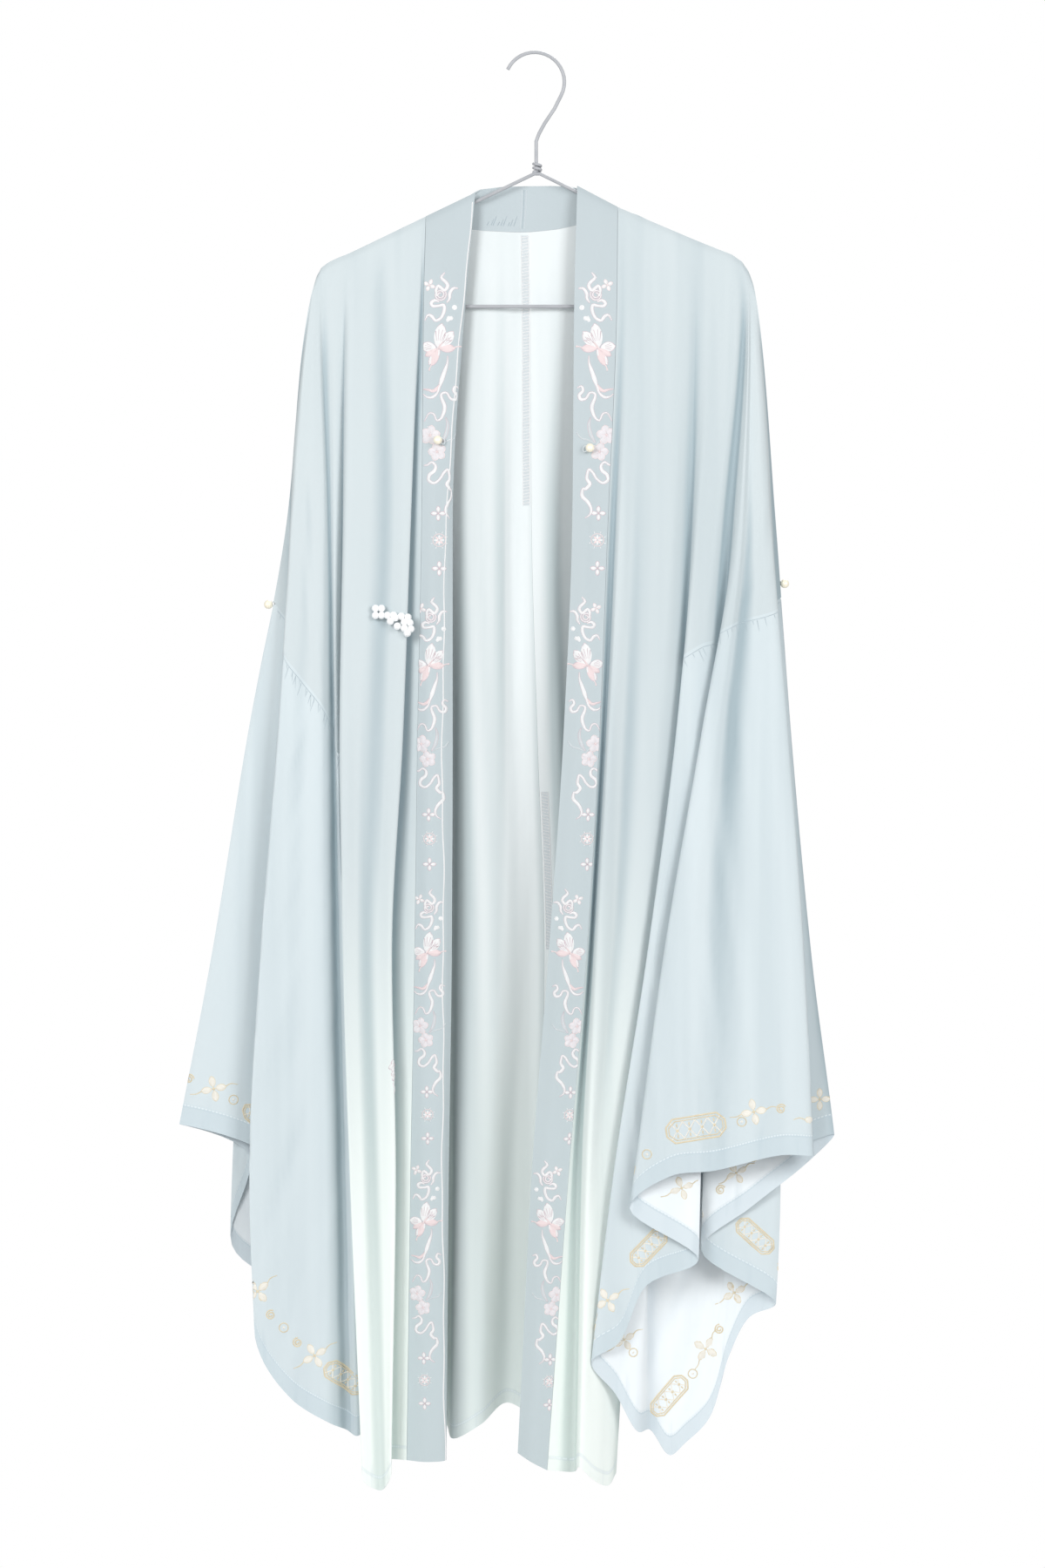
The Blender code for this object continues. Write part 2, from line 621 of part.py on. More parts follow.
def main():
    for item in list(bpy.data.objects):
        bpy.data.objects.remove(item, do_unlink=True)
    cloth = finish("robe_cloth", (0.72, 0.83, 0.88), 0.6)
    band = finish("collar_band_cloth", (0.66, 0.76, 0.84), 0.55)
    steel = finish("hanger_wire", (0.72, 0.73, 0.74), 0.3, 0.9)
    pearl = finish("pearl", (0.93, 0.91, 0.87), 0.25)

    seams = {}
    fronts = {
        "left": (FRONT_LEFT, SLEEVE_FRONT_LEFT),
        "right": (FRONT_RIGHT, SLEEVE_FRONT_RIGHT),
    }
    backs = {
        "right": ((shifted(BACK_RIGHT[0], -SEAM_GAP / 2),) + BACK_RIGHT[1:], SLEEVE_BACK_RIGHT[::-1]),
        "left": ((shifted(BACK_LEFT[0], SEAM_GAP / 2),) + BACK_LEFT[1:], SLEEVE_BACK_LEFT[::-1]),
    }
    under = {"left": SLEEVE_UNDER_LEFT, "right": SLEEVE_UNDER_RIGHT}
    top_row = []
    for arm in ("right", "left"):
        front_seam = body_panel(f"front_{arm}", *fronts[arm], arm, False, cloth)
        back_seam = body_panel(f"back_{arm}", *backs[arm], arm, True, cloth)
        sleeve_tube(
            f"sleeve_{arm}", fronts[arm][1], under[arm], backs[arm][1], front_seam, back_seam, arm, cloth
        )
        top_row += [column[0] for column in upper_columns(*backs[arm], arm, True)]
    top_row = [point for point in top_row if NECK_SEAM[0][0] < point[0] < NECK_SEAM[-1][0]]
    neck_band("collar_neck", sorted(top_row, key=lambda point: point[0]), band)
    collar_band("collar_left", FRONT_LEFT[0], COLLAR_LEFT, -1, band)
    collar_band("collar_right", FRONT_RIGHT[0], COLLAR_RIGHT, 1, band)
    hanger(steel)
    buttons(pearl)
    bead_cluster(pearl)


main()
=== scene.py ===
"""Looks of a hanfu robe on a wire hanger: fine cloth, embroidery, pearls, wire, lights and camera.

Lengths are in millimetres until they go into a mesh. +Z is up, the robe faces -Y, and "right" and "left"
are the wearer's, so the right side lies at -X. The fold tables are the ones that the solids are made from.
"""

from math import cos, pi, radians, sin

import bmesh
import bpy
import numpy as np
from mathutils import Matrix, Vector


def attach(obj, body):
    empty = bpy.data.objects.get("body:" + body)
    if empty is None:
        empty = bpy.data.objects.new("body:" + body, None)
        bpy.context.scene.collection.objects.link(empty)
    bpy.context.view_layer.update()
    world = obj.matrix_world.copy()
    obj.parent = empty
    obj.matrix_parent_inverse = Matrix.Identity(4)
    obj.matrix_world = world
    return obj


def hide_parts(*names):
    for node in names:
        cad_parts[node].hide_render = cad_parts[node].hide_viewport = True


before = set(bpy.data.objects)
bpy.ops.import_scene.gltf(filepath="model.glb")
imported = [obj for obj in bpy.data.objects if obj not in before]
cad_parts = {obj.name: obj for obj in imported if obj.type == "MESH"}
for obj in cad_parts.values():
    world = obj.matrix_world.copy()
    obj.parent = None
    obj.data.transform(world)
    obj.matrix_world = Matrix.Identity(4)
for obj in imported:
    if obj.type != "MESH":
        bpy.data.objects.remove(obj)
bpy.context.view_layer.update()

MM = 0.001

CLOTH_WALL = 1.5
SEAM_GAP = 0.3
CLOTH_THICKNESS = 0.7
COLLAR_THICKNESS = 1.2


# How the cloth opens out below the shoulder edge, over the wire.
OVER_WIRE_DEPTH = 3.9
OVER_WIRE_DROP = 7.0
SHOULDER_RAMP = 100.0
SHOULDER_DROPS = (0.0, 4.0, 9.0, 24.0)

# Sleeve seams: the height at the armpit and at the crown, the fold along the top of the arm.
ARMPIT_Z = {"left": -607.0, "right": -707.0}
CROWN_SEAM_Z = {"left": -549.0, "right": -553.0}
CROWN_EASE = 3.0

# Mesh steps: rows of quads down each stretch, and columns between two neighbouring folds.
UPPER_ROWS = 36
LOWER_ROWS = 60
SLEEVE_ROWS = 66
COLLAR_ROWS = 120
NECK_ROWS = 10
BODY_STEPS = 10
ARM_STEPS = 8

# Fold tables, in millimetres, a row for each fold line. Columns: name, X at the top edge,
# X at each of FOLD_HEIGHTS, Z of the hem there, then the depth Y at each of DEPTH_HEIGHTS.
FOLD_HEIGHTS = (-250, -470, -690, -910, -1130, -1350)
DEPTH_HEIGHTS = (-250, -690, -1350)

FRONT_LEFT = (
    ("band_seam",      84,   83,   74,   65,   52,   34,   18, -1426,  -8, -20, -26),
    ("seam_valley",    87,   88,   80,   70,   57,   43,   40, -1430,  -7, -13, -12),
    ("lead_fold",      95,   97,   87,   75,   63,   53,   47, -1422,  -8, -24, -34),
    ("lead_back",     113,  114,  107,   95,   83,   67,   62, -1437,  -8, -16, -24),
    ("side_fold",     141,  146,  138,  123,  104,   84,   77, -1444,  -8, -16, -12),
    ("side_edge",     161,  163,  158,  149,  127,  100,   87, -1433,  -6,  -1,  -1),
)

SLEEVE_FRONT_LEFT = (
    ("inner_fold",    174,  177,  163,  142,  113,   79,   53, -1317,  -8, -18, -32),
    ("inner_ridge",   187,  189,  171,  151,  118,   90,   83, -1297,  -8, -21, -34),
    ("inner_crest",   199,  204,  183,  160,  126,  111,  113, -1240,  -9, -20, -36),
    ("under_fold",    206,  212,  197,  187,  174,  166,  161, -1214,  -6, -12, -42),
    ("outer_fold",    209,  215,  203,  167,  129,   99,   67, -1161,  -8, -26, -54),
    ("outer_crest",   212,  216,  208,  180,  150,  134,  127, -1129,  -9, -31, -62),
    ("outer_dip",     215,  218,  215,  197,  185,  180,  177, -1124,  -7, -24, -50),
    ("outer_ridge",   217,  220,  228,  236,  241,  246,  248, -1108,  -7, -29, -58),
    ("outer_lip",     218,  222,  237,  255,  270,  280,  291, -1109,  -5, -22, -48),
    ("outer_tuck",    219,  223,  239,  246,  254,  265,  274, -1104,  -3, -11, -34),
    ("crown",         220,  224,  243,  259,  279,  306,  322, -1091,  -1,  -1, -12),
)

SLEEVE_BACK_LEFT = (
    ("crown",         220,  224,  243,  259,  279,  306,  322, -1091,   1,   1, -12),
    ("first_turn",    219,  222,  238,  250,  260,  272,  278, -1121,   3,   3, -22),
    ("first_mid",     216,  218,  231,  236,  225,  218,  218, -1163,   4,   6, -24),
    ("first_fold",    214,  215,  224,  224,  190,  170,  164, -1206,   5,   8, -24),
    ("second_turn",   211,  210,  218,  232,  238,  248,  238, -1261,   6,  14, -12),
    ("lower_a",       207,  206,  214,  224,  220,  218,  217, -1276,   6,  18,   0),
    ("lower_b",       202,  201,  208,  213,  204,  199,  197, -1314,   6,  18,   4),
    ("lower_c",       197,  194,  201,  201,  187,  180,  177, -1379,   6,  17,   6),
    ("lower_d",       190,  187,  192,  186,  164,  155,  153, -1404,   6,  16,   6),
    ("lower_e",       181,  177,  181,  174,  150,  134,  136, -1416,   6,  13,   4),
    ("lower_fold",    174,  169,  169,  164,  139,  114,  116, -1389,   6,   6,  -4),
)

SLEEVE_UNDER_LEFT = (
    ("flap_mid",   164,  164,  165,  151,  124,   95,   81, -1350,  -2, -10, -22),
    ("flap_end",   164,  164,  167,  160,  136,  118,  106, -1389,   0,  -4, -16),
)

FRONT_RIGHT = (
    ("band_seam",  -110, -112, -114, -118, -121, -125, -128, -1418,  -8, -12, -14),
    ("tuck",       -111, -114, -129, -139, -150, -147, -148, -1419,  -6,  -6,  -6),
    ("lead_lip",   -113, -117, -125, -133, -144, -140, -143, -1430,  -9, -24, -34),
    ("lead_mid",   -143, -148, -153, -162, -167, -164, -157, -1446,  -8, -20, -28),
    ("lead_fold",  -181, -187, -191, -195, -192, -185, -176, -1434,  -8, -27, -36),
    ("side_edge",  -190, -193, -194, -192, -164, -153, -151, -1424,  -6,  -3,  -1),
)

SLEEVE_FRONT_RIGHT = (
    ("inner_ridge",  -199, -201, -201, -199, -192, -185, -180, -1394,  -8, -13, -12),
    ("gap",          -209, -214, -207, -203, -199, -194, -190, -1389,  -5,  -6,  -6),
    ("front_ridge",  -212, -218, -213, -215, -214, -209, -208, -1378,  -8, -20, -25),
    ("front_mid",    -215, -223, -228, -237, -243, -247, -246, -1353,  -7, -20, -26),
    ("front_lip",    -217, -225, -244, -258, -275, -286, -278, -1292,  -6, -22, -32),
    ("front_tuck",   -220, -226, -246, -248, -252, -257, -260, -1123,  -3,  -6,  -8),
    ("crown",        -222, -227, -250, -290, -326, -368, -408, -1081,  -1,  -1,  -2),
)

SLEEVE_BACK_RIGHT = (
    ("crown",      -222, -227, -250, -290, -326, -368, -408, -1081,   1,   1,  -2),
    ("back_tuck",  -220, -225, -243, -271, -283, -290, -294, -1112,   3,   8,   8),
    ("back_lip",   -218, -224, -236, -271, -290, -305, -310, -1205,   5,  13,  16),
    ("back_mid",   -213, -217, -222, -237, -241, -245, -246, -1257,   6,  18,  24),
    ("back_in",    -204, -208, -207, -205, -201, -195, -192, -1345,   6,  17,  20),
)

SLEEVE_UNDER_RIGHT = (
    ("under_front",  -200, -200, -200, -200, -185, -176, -173, -1389,  -3,  -5,  -4),
    ("under_back",   -200, -200, -200, -200, -184, -175, -172, -1382,   4,   8,   8),
)

BACK_RIGHT = (
    ("centre",         -5,   -4,   -3,    3,   10,    7,    2, -1383,   8,  24,  30),
    ("valley",        -19,  -19,  -21,  -18,  -14,  -21,  -28, -1368,   9,  30,  38),
    ("ridge_edge",    -35,  -34,  -35,  -37,  -41,  -50,  -54, -1387,   7,  17,  17),
    ("ridge_lip",     -65,  -70,  -74,  -75,  -76,  -78,  -82, -1401,   7,  15,  15),
    ("first_tuck",    -83,  -86,  -91,  -91,  -91,  -91,  -91, -1389,   9,  30,  34),
    ("second_fold",  -102, -107, -112, -114, -117, -117, -117, -1397,   8,  18,  22),
    ("second_tuck",  -123, -128, -133, -134, -136, -133, -131, -1389,   9,  32,  40),
    ("third_fold",   -150, -153, -155, -153, -148, -142, -141, -1399,   8,  18,  22),
    ("side_edge",    -190, -193, -194, -192, -164, -153, -151, -1424,   6,  -1,   1),
)

BACK_LEFT = (
    ("centre",         -5,   -4,   -3,    3,   10,    7,    2, -1383,   8,  24,  30),
    ("first_fold",     23,   23,   18,   24,   31,   24,   16, -1389,   7,  18,  22),
    ("first_tuck",     48,   48,   44,   45,   48,   40,   32, -1380,   9,  32,  40),
    ("second_fold",    72,   74,   69,   67,   67,   58,   50, -1393,   8,  20,  24),
    ("second_tuck",    97,   99,   93,   90,   85,   73,   65, -1384,  10,  33,  40),
    ("third_fold",    121,  126,  120,  114,  102,   83,   76, -1402,   8,  20,  24),
    ("side_edge",     161,  163,  158,  149,  127,  100,   87, -1433,   6,   1,   1),
)

COLLAR_RIGHT = (
    ("middle",   -85,  -92, -100, -105, -106, -109, -109, -1419, -10, -17, -19),
    ("edge",     -62,  -72,  -89,  -93,  -92,  -93,  -91, -1418,  -9, -15, -17),
    ("lip",      -60,  -70,  -83,  -83,  -84,  -87,  -89, -1417,  -7,  -9, -11),
)

COLLAR_LEFT = (
    ("middle",    63,   62,   55,   48,   33,   16,    2, -1418, -10, -24, -30),
    ("edge",      43,   40,   38,   29,   14,   -3,  -14, -1409,  -8, -19, -25),
)

# The shoulder edge (X, Z) from the wearer's right to left, and the back neck seam (X, Z, depth Y).
SHOULDER_LINE = (
    (-222, -236), (-220, -225), (-215, -216), (-206, -209), (-188, -202), (-109, -164), (-61, -141),
    (-26, -130), (0, -128), (42, -133), (84, -155), (164, -189), (199, -203), (209, -210), (216, -220),
    (221, -234),
)
NECK_SEAM = (
    (-104, -164, 3.5), (-90, -172, 6), (-61, -177, 9), (-10, -179, 10), (30, -175, 9), (62, -167, 6),
    (82, -157, 3.5),
)
# The neck band stands up from the neck seam: X and Z along its top edge, and its depth Y there.
NECK_BAND_TOP = (
    (-61, -140, 2.5), (-54, -136, 5), (-34, -133, 9), (-10, -132, 11), (18, -132, 9), (33, -133, 5),
    (42, -135, 2.5),
)


def steadied(knots, values, at):
    """Values on a smooth curve through the knots that never overshoots them."""
    knots = np.asarray(knots, float)
    values = np.asarray(values, float)
    if knots[0] > knots[-1]:
        knots, values = knots[::-1], values[::-1]
    steps = np.diff(knots)
    slopes = np.diff(values) / steps
    tangents = np.zeros(len(knots))
    same_sign = slopes[:-1] * slopes[1:] > 0
    weight_a = 2 * steps[1:] + steps[:-1]
    weight_b = steps[1:] + 2 * steps[:-1]
    with np.errstate(divide="ignore", invalid="ignore"):
        inner = (weight_a + weight_b) / (weight_a / slopes[:-1] + weight_b / slopes[1:])
    tangents[1:-1] = np.where(same_sign, inner, 0.0)
    tangents[0], tangents[-1] = slopes[0], slopes[-1]
    at = np.asarray(at, float)
    clipped = np.clip(at, knots[0], knots[-1])
    index = np.clip(np.searchsorted(knots, clipped) - 1, 0, len(steps) - 1)
    step = steps[index]
    t = (clipped - knots[index]) / step
    curve = (
        (2 * t**3 - 3 * t**2 + 1) * values[index]
        + (t**3 - 2 * t**2 + t) * step * tangents[index]
        + (-2 * t**3 + 3 * t**2) * values[index + 1]
        + (t**3 - t**2) * step * tangents[index + 1]
    )
    return curve + (at - clipped) * np.where(at > clipped, tangents[-1], tangents[0])


def eased(fraction):
    fraction = np.clip(fraction, 0.0, 1.0)
    return fraction * fraction * (3 - 2 * fraction)


def top_edge(x, is_back):
    """Z and depth of the top edge at this X: the shoulder edge, or the neck seam on the back."""
    depth = (CLOTH_WALL + SEAM_GAP) / 2
    z = np.interp(x, *np.array(SHOULDER_LINE, float).T)
    if is_back and NECK_SEAM[0][0] < x < NECK_SEAM[-1][0]:
        along, seam_z, seam_y = np.array(NECK_SEAM, float).T
        z = np.interp(x, along, seam_z) - SEAM_GAP
        depth = np.interp(x, along, seam_y)
    return z, depth


def fold_line(fold, side, start, end, count, is_back=False):
    """Points down one fold line, from height start to height end, as count + 1 rows of X, Y, Z."""
    top_x, hem_z = fold[1], fold[8]
    top_z, top_depth = top_edge(top_x, is_back)
    end = hem_z if end is None else end
    if start is None:
        drops = top_z - np.array(SHOULDER_DROPS)
        z = np.append(drops[:-1], np.linspace(drops[-1], end, count + 2 - len(drops)))
    else:
        z = np.linspace(start, end, count + 1)
    heights = [top_z] + [height for height in FOLD_HEIGHTS if height < top_z - 5]
    across = [top_x] + list(fold[2:8])[-(len(heights) - 1):]
    x = steadied(heights, across, z)
    depth = np.interp(z, DEPTH_HEIGHTS[::-1], fold[9:12][::-1])
    below = top_z - z
    opening = (CLOTH_WALL + SEAM_GAP) / 2 + OVER_WIRE_DEPTH * eased(below / OVER_WIRE_DROP)
    rest = np.maximum(top_depth, opening)
    blend = eased(below / SHOULDER_RAMP)
    y = side * rest * (1 - blend) + depth * blend
    return np.column_stack([x, y, z])


def between_folds(lines, steps, closed=False):
    """The sheet's columns: a rounded curve through the fold lines, with steps columns to each next one."""
    count = len(lines)
    spans = count if closed else count - 1

    def line(index):
        if closed:
            return lines[index % count]
        if index < 0:
            return 2 * lines[0] - lines[1]
        if index >= count:
            return 2 * lines[-1] - lines[-2]
        return lines[index]

    columns = []
    for index in range(spans):
        before, here, after, beyond = (line(index + offset) for offset in (-1, 0, 1, 2))
        knots = [np.zeros(len(here))]
        for near, far in ((before, here), (here, after), (after, beyond)):
            gap = np.sqrt(np.linalg.norm(far - near, axis=1)) + 1e-6
            knots.append(knots[-1] + gap)
        for step in range(steps):
            at = knots[1] + (knots[2] - knots[1]) * step / steps

            def mix(a, b, low, high):
                share = ((at - low) / (high - low))[:, None]
                return a * (1 - share) + b * share

            first = mix(before, here, knots[0], knots[1])
            second = mix(here, after, knots[1], knots[2])
            third = mix(after, beyond, knots[2], knots[3])
            columns.append(
                mix(
                    mix(first, second, knots[0], knots[2]),
                    mix(second, third, knots[1], knots[3]),
                    knots[1],
                    knots[2],
                )
            )
    if not closed:
        columns.append(lines[-1])
    return columns


def seam_heights(folds, arm, is_back):
    """Z of the sleeve seam at each fold of the arm, from the armpit to the crown."""
    share = np.linspace(0, 1, len(folds))
    if is_back:
        x = np.array([(fold[3] + fold[4]) / 2 for fold in folds], float)
        share = np.maximum.accumulate(np.clip((x - x[0]) / (x[-1] - x[0]), 0, 1))
    return ARMPIT_Z[arm] + share * (CROWN_SEAM_Z[arm] - ARMPIT_Z[arm])


def shifted(fold, across):
    """The same fold line, moved along X."""
    return (fold[0],) + tuple(x + across for x in fold[1:8]) + fold[8:]


def upper_columns(body_folds, arm_folds, arm, is_back):
    """The columns of a front or back above its armpit and sleeve seam, and how many are the body's."""
    side = 1 if is_back else -1
    body = [fold_line(fold, side, None, ARMPIT_Z[arm], UPPER_ROWS, is_back) for fold in body_folds]
    seams = seam_heights(arm_folds, arm, is_back)
    sleeve = [
        fold_line(fold, side, None, seam, UPPER_ROWS, is_back) for fold, seam in zip(arm_folds, seams)
    ]
    body_columns = between_folds(body + sleeve[:1], BODY_STEPS)[:-BODY_STEPS]
    arm_columns = between_folds(body[-1:] + sleeve, ARM_STEPS)[1:]
    for column in arm_columns:
        column[:, 2] = np.maximum(column[:, 2], ARMPIT_Z[arm])
    return body_columns[: BODY_STEPS * (len(body) - 1) + 1] + arm_columns


# How far the fold under each arm is moved towards the robe's side, along X, and how far down that reaches.
UNDERARM_EASE = {"left": -3.0, "right": 6.0}
UNDERARM_REACH = 110
# Above the armpit a front's or back's arm part has no hem, so its marks start far up from one.
FAR_FROM_HEM = 10000.0


class Cloth:
    """One piece of cloth: grids of points, in rows that run across it and columns that run down it.

    Each corner of its quads carries a mark: how far it lies across the cut, and how far up from the hem.
    """

    def __init__(self, name):
        self.name = name
        self.grids = []
        self.indexes = []
        self.points = []
        self.quads = []
        self.marks = []

    def add_grid(self, grid, closed=False, beside=None, across_before=0.0, hem=0.0):
        """Adds a grid of rows x columns. With beside, its first column is those points, already there."""
        rows, columns = grid.shape[:2]
        shared = 0 if beside is None else 1
        own = grid[:, shared:].reshape(-1, 3)
        index = np.zeros((rows, columns), int)
        if shared:
            index[:, 0] = beside
        index[:, shared:] = len(self.points) + np.arange(len(own)).reshape(rows, -1)
        self.points.extend(own)
        across = self.lengths(grid, 1)[rows // 2] + across_before
        down = self.lengths(grid, 0)
        order = list(range(columns)) + ([0] if closed else [])
        turn = float(np.linalg.norm(grid[rows // 2, 0] - grid[rows // 2, -1]))
        for near, far in zip(order, order[1:]):
            u_near, u_far = across[near], across[far] if far else across[near] + turn
            for row in range(rows - 1):
                corners = [(row, near), (row + 1, near), (row + 1, far), (row, far)]
                self.quads.append([index[corner] for corner in corners])
                self.marks.append(
                    [
                        (u_near if column == near else u_far, down[-1, column] - down[at, column] + hem)
                        for at, column in corners
                    ]
                )
        self.grids.append((grid, closed))
        self.indexes.append(index)
        return index

    @staticmethod
    def lengths(grid, axis):
        steps = np.linalg.norm(np.diff(grid, axis=axis), axis=2)
        total = np.cumsum(steps, axis=axis)
        pad = [(0, 0), (0, 0)]
        pad[axis] = (1, 0)
        return np.pad(total, pad)

    def shell(self, thickness, outer, inner, outward=-1):
        """The piece itself: a thin closed shell, with its outer face on the side that outward gives."""
        mesh = bpy.data.meshes.new(self.name)
        mesh.from_pydata((np.array(self.points) * MM).tolist(), [], [list(map(int, q)) for q in self.quads])
        marks = mesh.uv_layers.new(name="cut")
        flat = np.array(self.marks).reshape(-1, 2) * MM
        marks.data.foreach_set("uv", flat.ravel())
        # Each point's fold depth, which the cloth finishes turn into painted shade in the fold valleys.
        tones = mesh.color_attributes.new("fold_depth", "FLOAT_COLOR", "POINT")
        depths = self.fold_depths(outward)
        shades = np.column_stack([depths, depths, depths, np.ones(len(depths))])
        tones.data.foreach_set("color", shades.ravel())
        piece = bpy.data.objects.new(self.name, mesh)
        bpy.context.scene.collection.objects.link(piece)
        self.flipped = self.faces_sign(outward) < 0
        if self.flipped:
            mesh.flip_normals()
        mesh.shade_smooth()
        mesh.materials.append(outer)
        mesh.materials.append(inner)
        wall = piece.modifiers.new("thickness", "SOLIDIFY")
        wall.thickness = thickness * MM
        wall.offset = 0.0
        wall.use_even_offset = False
        wall.material_offset = 1
        bpy.context.view_layer.objects.active = piece
        bpy.ops.object.select_all(action="DESELECT")
        piece.select_set(True)
        bpy.ops.object.modifier_apply(modifier=wall.name)
        mesh.set_sharp_from_angle(angle=radians(55))
        return piece

    def fold_depths(self, outward):
        """0 to 1 for each point: how far it lies behind the cloth around it, as in the valley of a fold."""
        points = np.array(self.points)
        depths = np.full(len(points), 0.5)
        for (grid, closed), index in zip(self.grids, self.indexes):
            across = self.lengths(grid, 1)
            for row in range(grid.shape[0]):
                at, y = across[row], grid[row, :, 1]
                even = np.arange(-60, at[-1] + 61, 3.0)
                level = np.interp(even, at, y)
                if closed:
                    level = np.interp(even, np.concatenate([at - at[-1], at, at + at[-1]]), np.tile(y, 3))
                kernel = np.hanning(23)
                around = np.convolve(level, kernel / kernel.sum(), mode="same")
                behind = (np.interp(at, even, level) - np.interp(at, even, around)) * -outward
                depths[index[row]] = np.clip(0.5 + behind / 8, 0, 1)
        return depths

    def faces_sign(self, outward):
        """1 if the first columns' faces already point to the outer side, towards Y times outward."""
        points = np.array(self.points)
        grid = self.grids[0][0]
        count = (grid.shape[0] - 1) * max(4, min(grid.shape[1] // 3, 24))
        quads = points[np.array(self.quads[:count])]
        crosses = np.cross(quads[:, 2] - quads[:, 0], quads[:, 3] - quads[:, 1])
        return np.sign(crosses[:, 1].sum() * outward)


def rippled(grid, seed, depth, top_fade=60.0, low_fade=0.0, side_fade=12.0):
    """The grid with faint long ripples: small waves across it that drift slowly down its length."""
    rng = np.random.default_rng(seed)
    across = Cloth.lengths(grid, 1)
    down = Cloth.lengths(grid, 0)
    x, z = grid[:, :, 0], grid[:, :, 2]
    wave = np.zeros(x.shape)
    for length in (19, 27, 38, 54, 76):
        phase, drift, swell = rng.uniform(0, 2 * pi, 3)
        slow = np.sin(z / 310 + drift) * 1.4 + np.sin(z / 143 + swell) * 0.6
        strength = 0.5 + 0.5 * np.sin(z / rng.uniform(150, 300) + x / 90 + swell)
        wave += strength * (length / 50) ** 0.7 * np.sin(2 * pi * across / length + phase + slow)
    fade = eased(down / top_fade)
    if low_fade:
        fade = fade * eased((down[-1] - down) / low_fade)
    edge = np.minimum(across, across[:, -1:] - across)
    fade = fade * eased(edge / side_fade)
    moved = grid.copy()
    moved[:, :, 1] += depth * wave * fade
    return moved


def body_panel(arm, body_folds, arm_folds, is_back):
    """A front or back as one cloth, and the row of points along its sleeve seam."""
    side = 1 if is_back else -1
    name = ("back_" if is_back else "front_") + arm
    cloth = Cloth(name + "_cloth")
    columns = upper_columns(body_folds, arm_folds, arm, is_back)
    folds = [fold_line(fold, side, ARMPIT_Z[arm], None, LOWER_ROWS, is_back) for fold in body_folds]
    lower = between_folds(folds, BODY_STEPS)
    body_count = len(lower)
    for column, above in zip(lower, columns):
        column[0] = above[-1]
    body = np.stack([np.vstack([top, low[1:]]) for top, low in zip(columns, lower)], axis=1)
    sleeve = np.stack(columns[body_count - 1 :], axis=1)
    seed = {"front_left": 3, "front_right": 5, "back_left": 7, "back_right": 9}[name]
    body = rippled(body, seed, 0.5)
    sleeve = rippled(sleeve, seed + 20, 0.35, low_fade=30)
    sleeve[:, 0] = body[: sleeve.shape[0], -1]
    main = cloth.add_grid(body)
    # The arm part shares the body's last column down to the armpit.
    rows = sleeve.shape[0]
    body_width = Cloth.lengths(body, 1)[rows // 2, -1]
    cloth.add_grid(sleeve, beside=main[:rows, -1], across_before=body_width, hem=FAR_FROM_HEM)
    return cloth, sleeve[-1, ARM_STEPS:]


def sleeve_tube(arm, front_folds, under_folds, back_folds, front_seam, back_seam):
    """The wide sleeve below its seam, as a closed ring from the crown round to the crown."""
    ring = [(fold, -1) for fold in front_folds[::-1]]
    ring += [(fold, 1) for fold in under_folds + back_folds[:-1]]
    lines = [fold_line(fold, side, ARMPIT_Z[arm] - SEAM_GAP, None, SLEEVE_ROWS) for fold, side in ring]
    seam = [None] * (len(ring) * ARM_STEPS)
    seam[: len(front_seam)] = list(front_seam[::-1])
    back_start = (len(front_folds) + len(under_folds)) * ARM_STEPS
    seam[back_start:] = list(back_seam[:-1])
    seam[0] = (front_seam[-1] + back_seam[-1]) / 2 - (0, 0, CROWN_EASE)
    for index, (fold, side) in enumerate(ring):
        sewn = seam[index * ARM_STEPS]
        if sewn is not None:
            lines[index] = fold_line(fold, side, sewn[2] - SEAM_GAP, None, SLEEVE_ROWS)
    columns = between_folds(lines, ARM_STEPS, closed=True)
    grid = np.stack(columns, axis=1)
    fade = np.clip(1 - np.arange(grid.shape[0]) / 6, 0, 1)[:, None]
    for column, sewn in enumerate(seam):
        if sewn is not None:
            shift = sewn - grid[0, column]
            grid[:, column] += fade * shift
    # The fold under the arm starts close to the robe's side.
    under_middle = (len(front_folds) + len(under_folds) / 2 - 0.5) * ARM_STEPS
    near = eased(1 - np.abs(np.arange(grid.shape[1]) - under_middle) / (2 * ARM_STEPS))
    toward = UNDERARM_EASE[arm] * eased(1 - (ARMPIT_Z[arm] - grid[:, :, 2]) / UNDERARM_REACH)
    grid[:, :, 0] += near * toward
    grid = rippled(grid, 31 if arm == "left" else 37, 0.35, side_fade=20)
    cloth = Cloth(f"sleeve_{arm}_cloth")
    cloth.add_grid(grid, closed=True)
    return cloth


def collar_band(arm, seam_fold, folds, inward):
    sewn = shifted(seam_fold, inward * SEAM_GAP)
    lines = [fold_line(fold, -1, None, None, COLLAR_ROWS) for fold in (sewn,) + folds]
    grid = np.stack(between_folds(lines, BODY_STEPS), axis=1)
    cloth = Cloth(f"collar_{arm}_cloth")
    cloth.add_grid(grid)
    return cloth


def neck_band(top_row):
    """The collar band round the back of the neck, standing on the back's top edge."""
    along, band_z, band_y = np.array(NECK_BAND_TOP, float).T
    low, high = NECK_SEAM[0][0], NECK_SEAM[-1][0]
    feet = sorted((point for point in top_row if low < point[0] < high), key=lambda point: point[0])
    columns = []
    for foot in feet:
        x = np.interp(foot[0], (low, high), (along[0], along[-1]))
        top = np.array([x, np.interp(x, along, band_y), np.interp(x, along, band_z)])
        share = np.linspace(0, 1, NECK_ROWS + 1)[:, None]
        columns.append(top * (1 - share) + (foot + (0, 0, SEAM_GAP)) * share)
    cloth = Cloth("collar_neck_cloth")
    cloth.add_grid(np.stack(columns, axis=1))
    return cloth


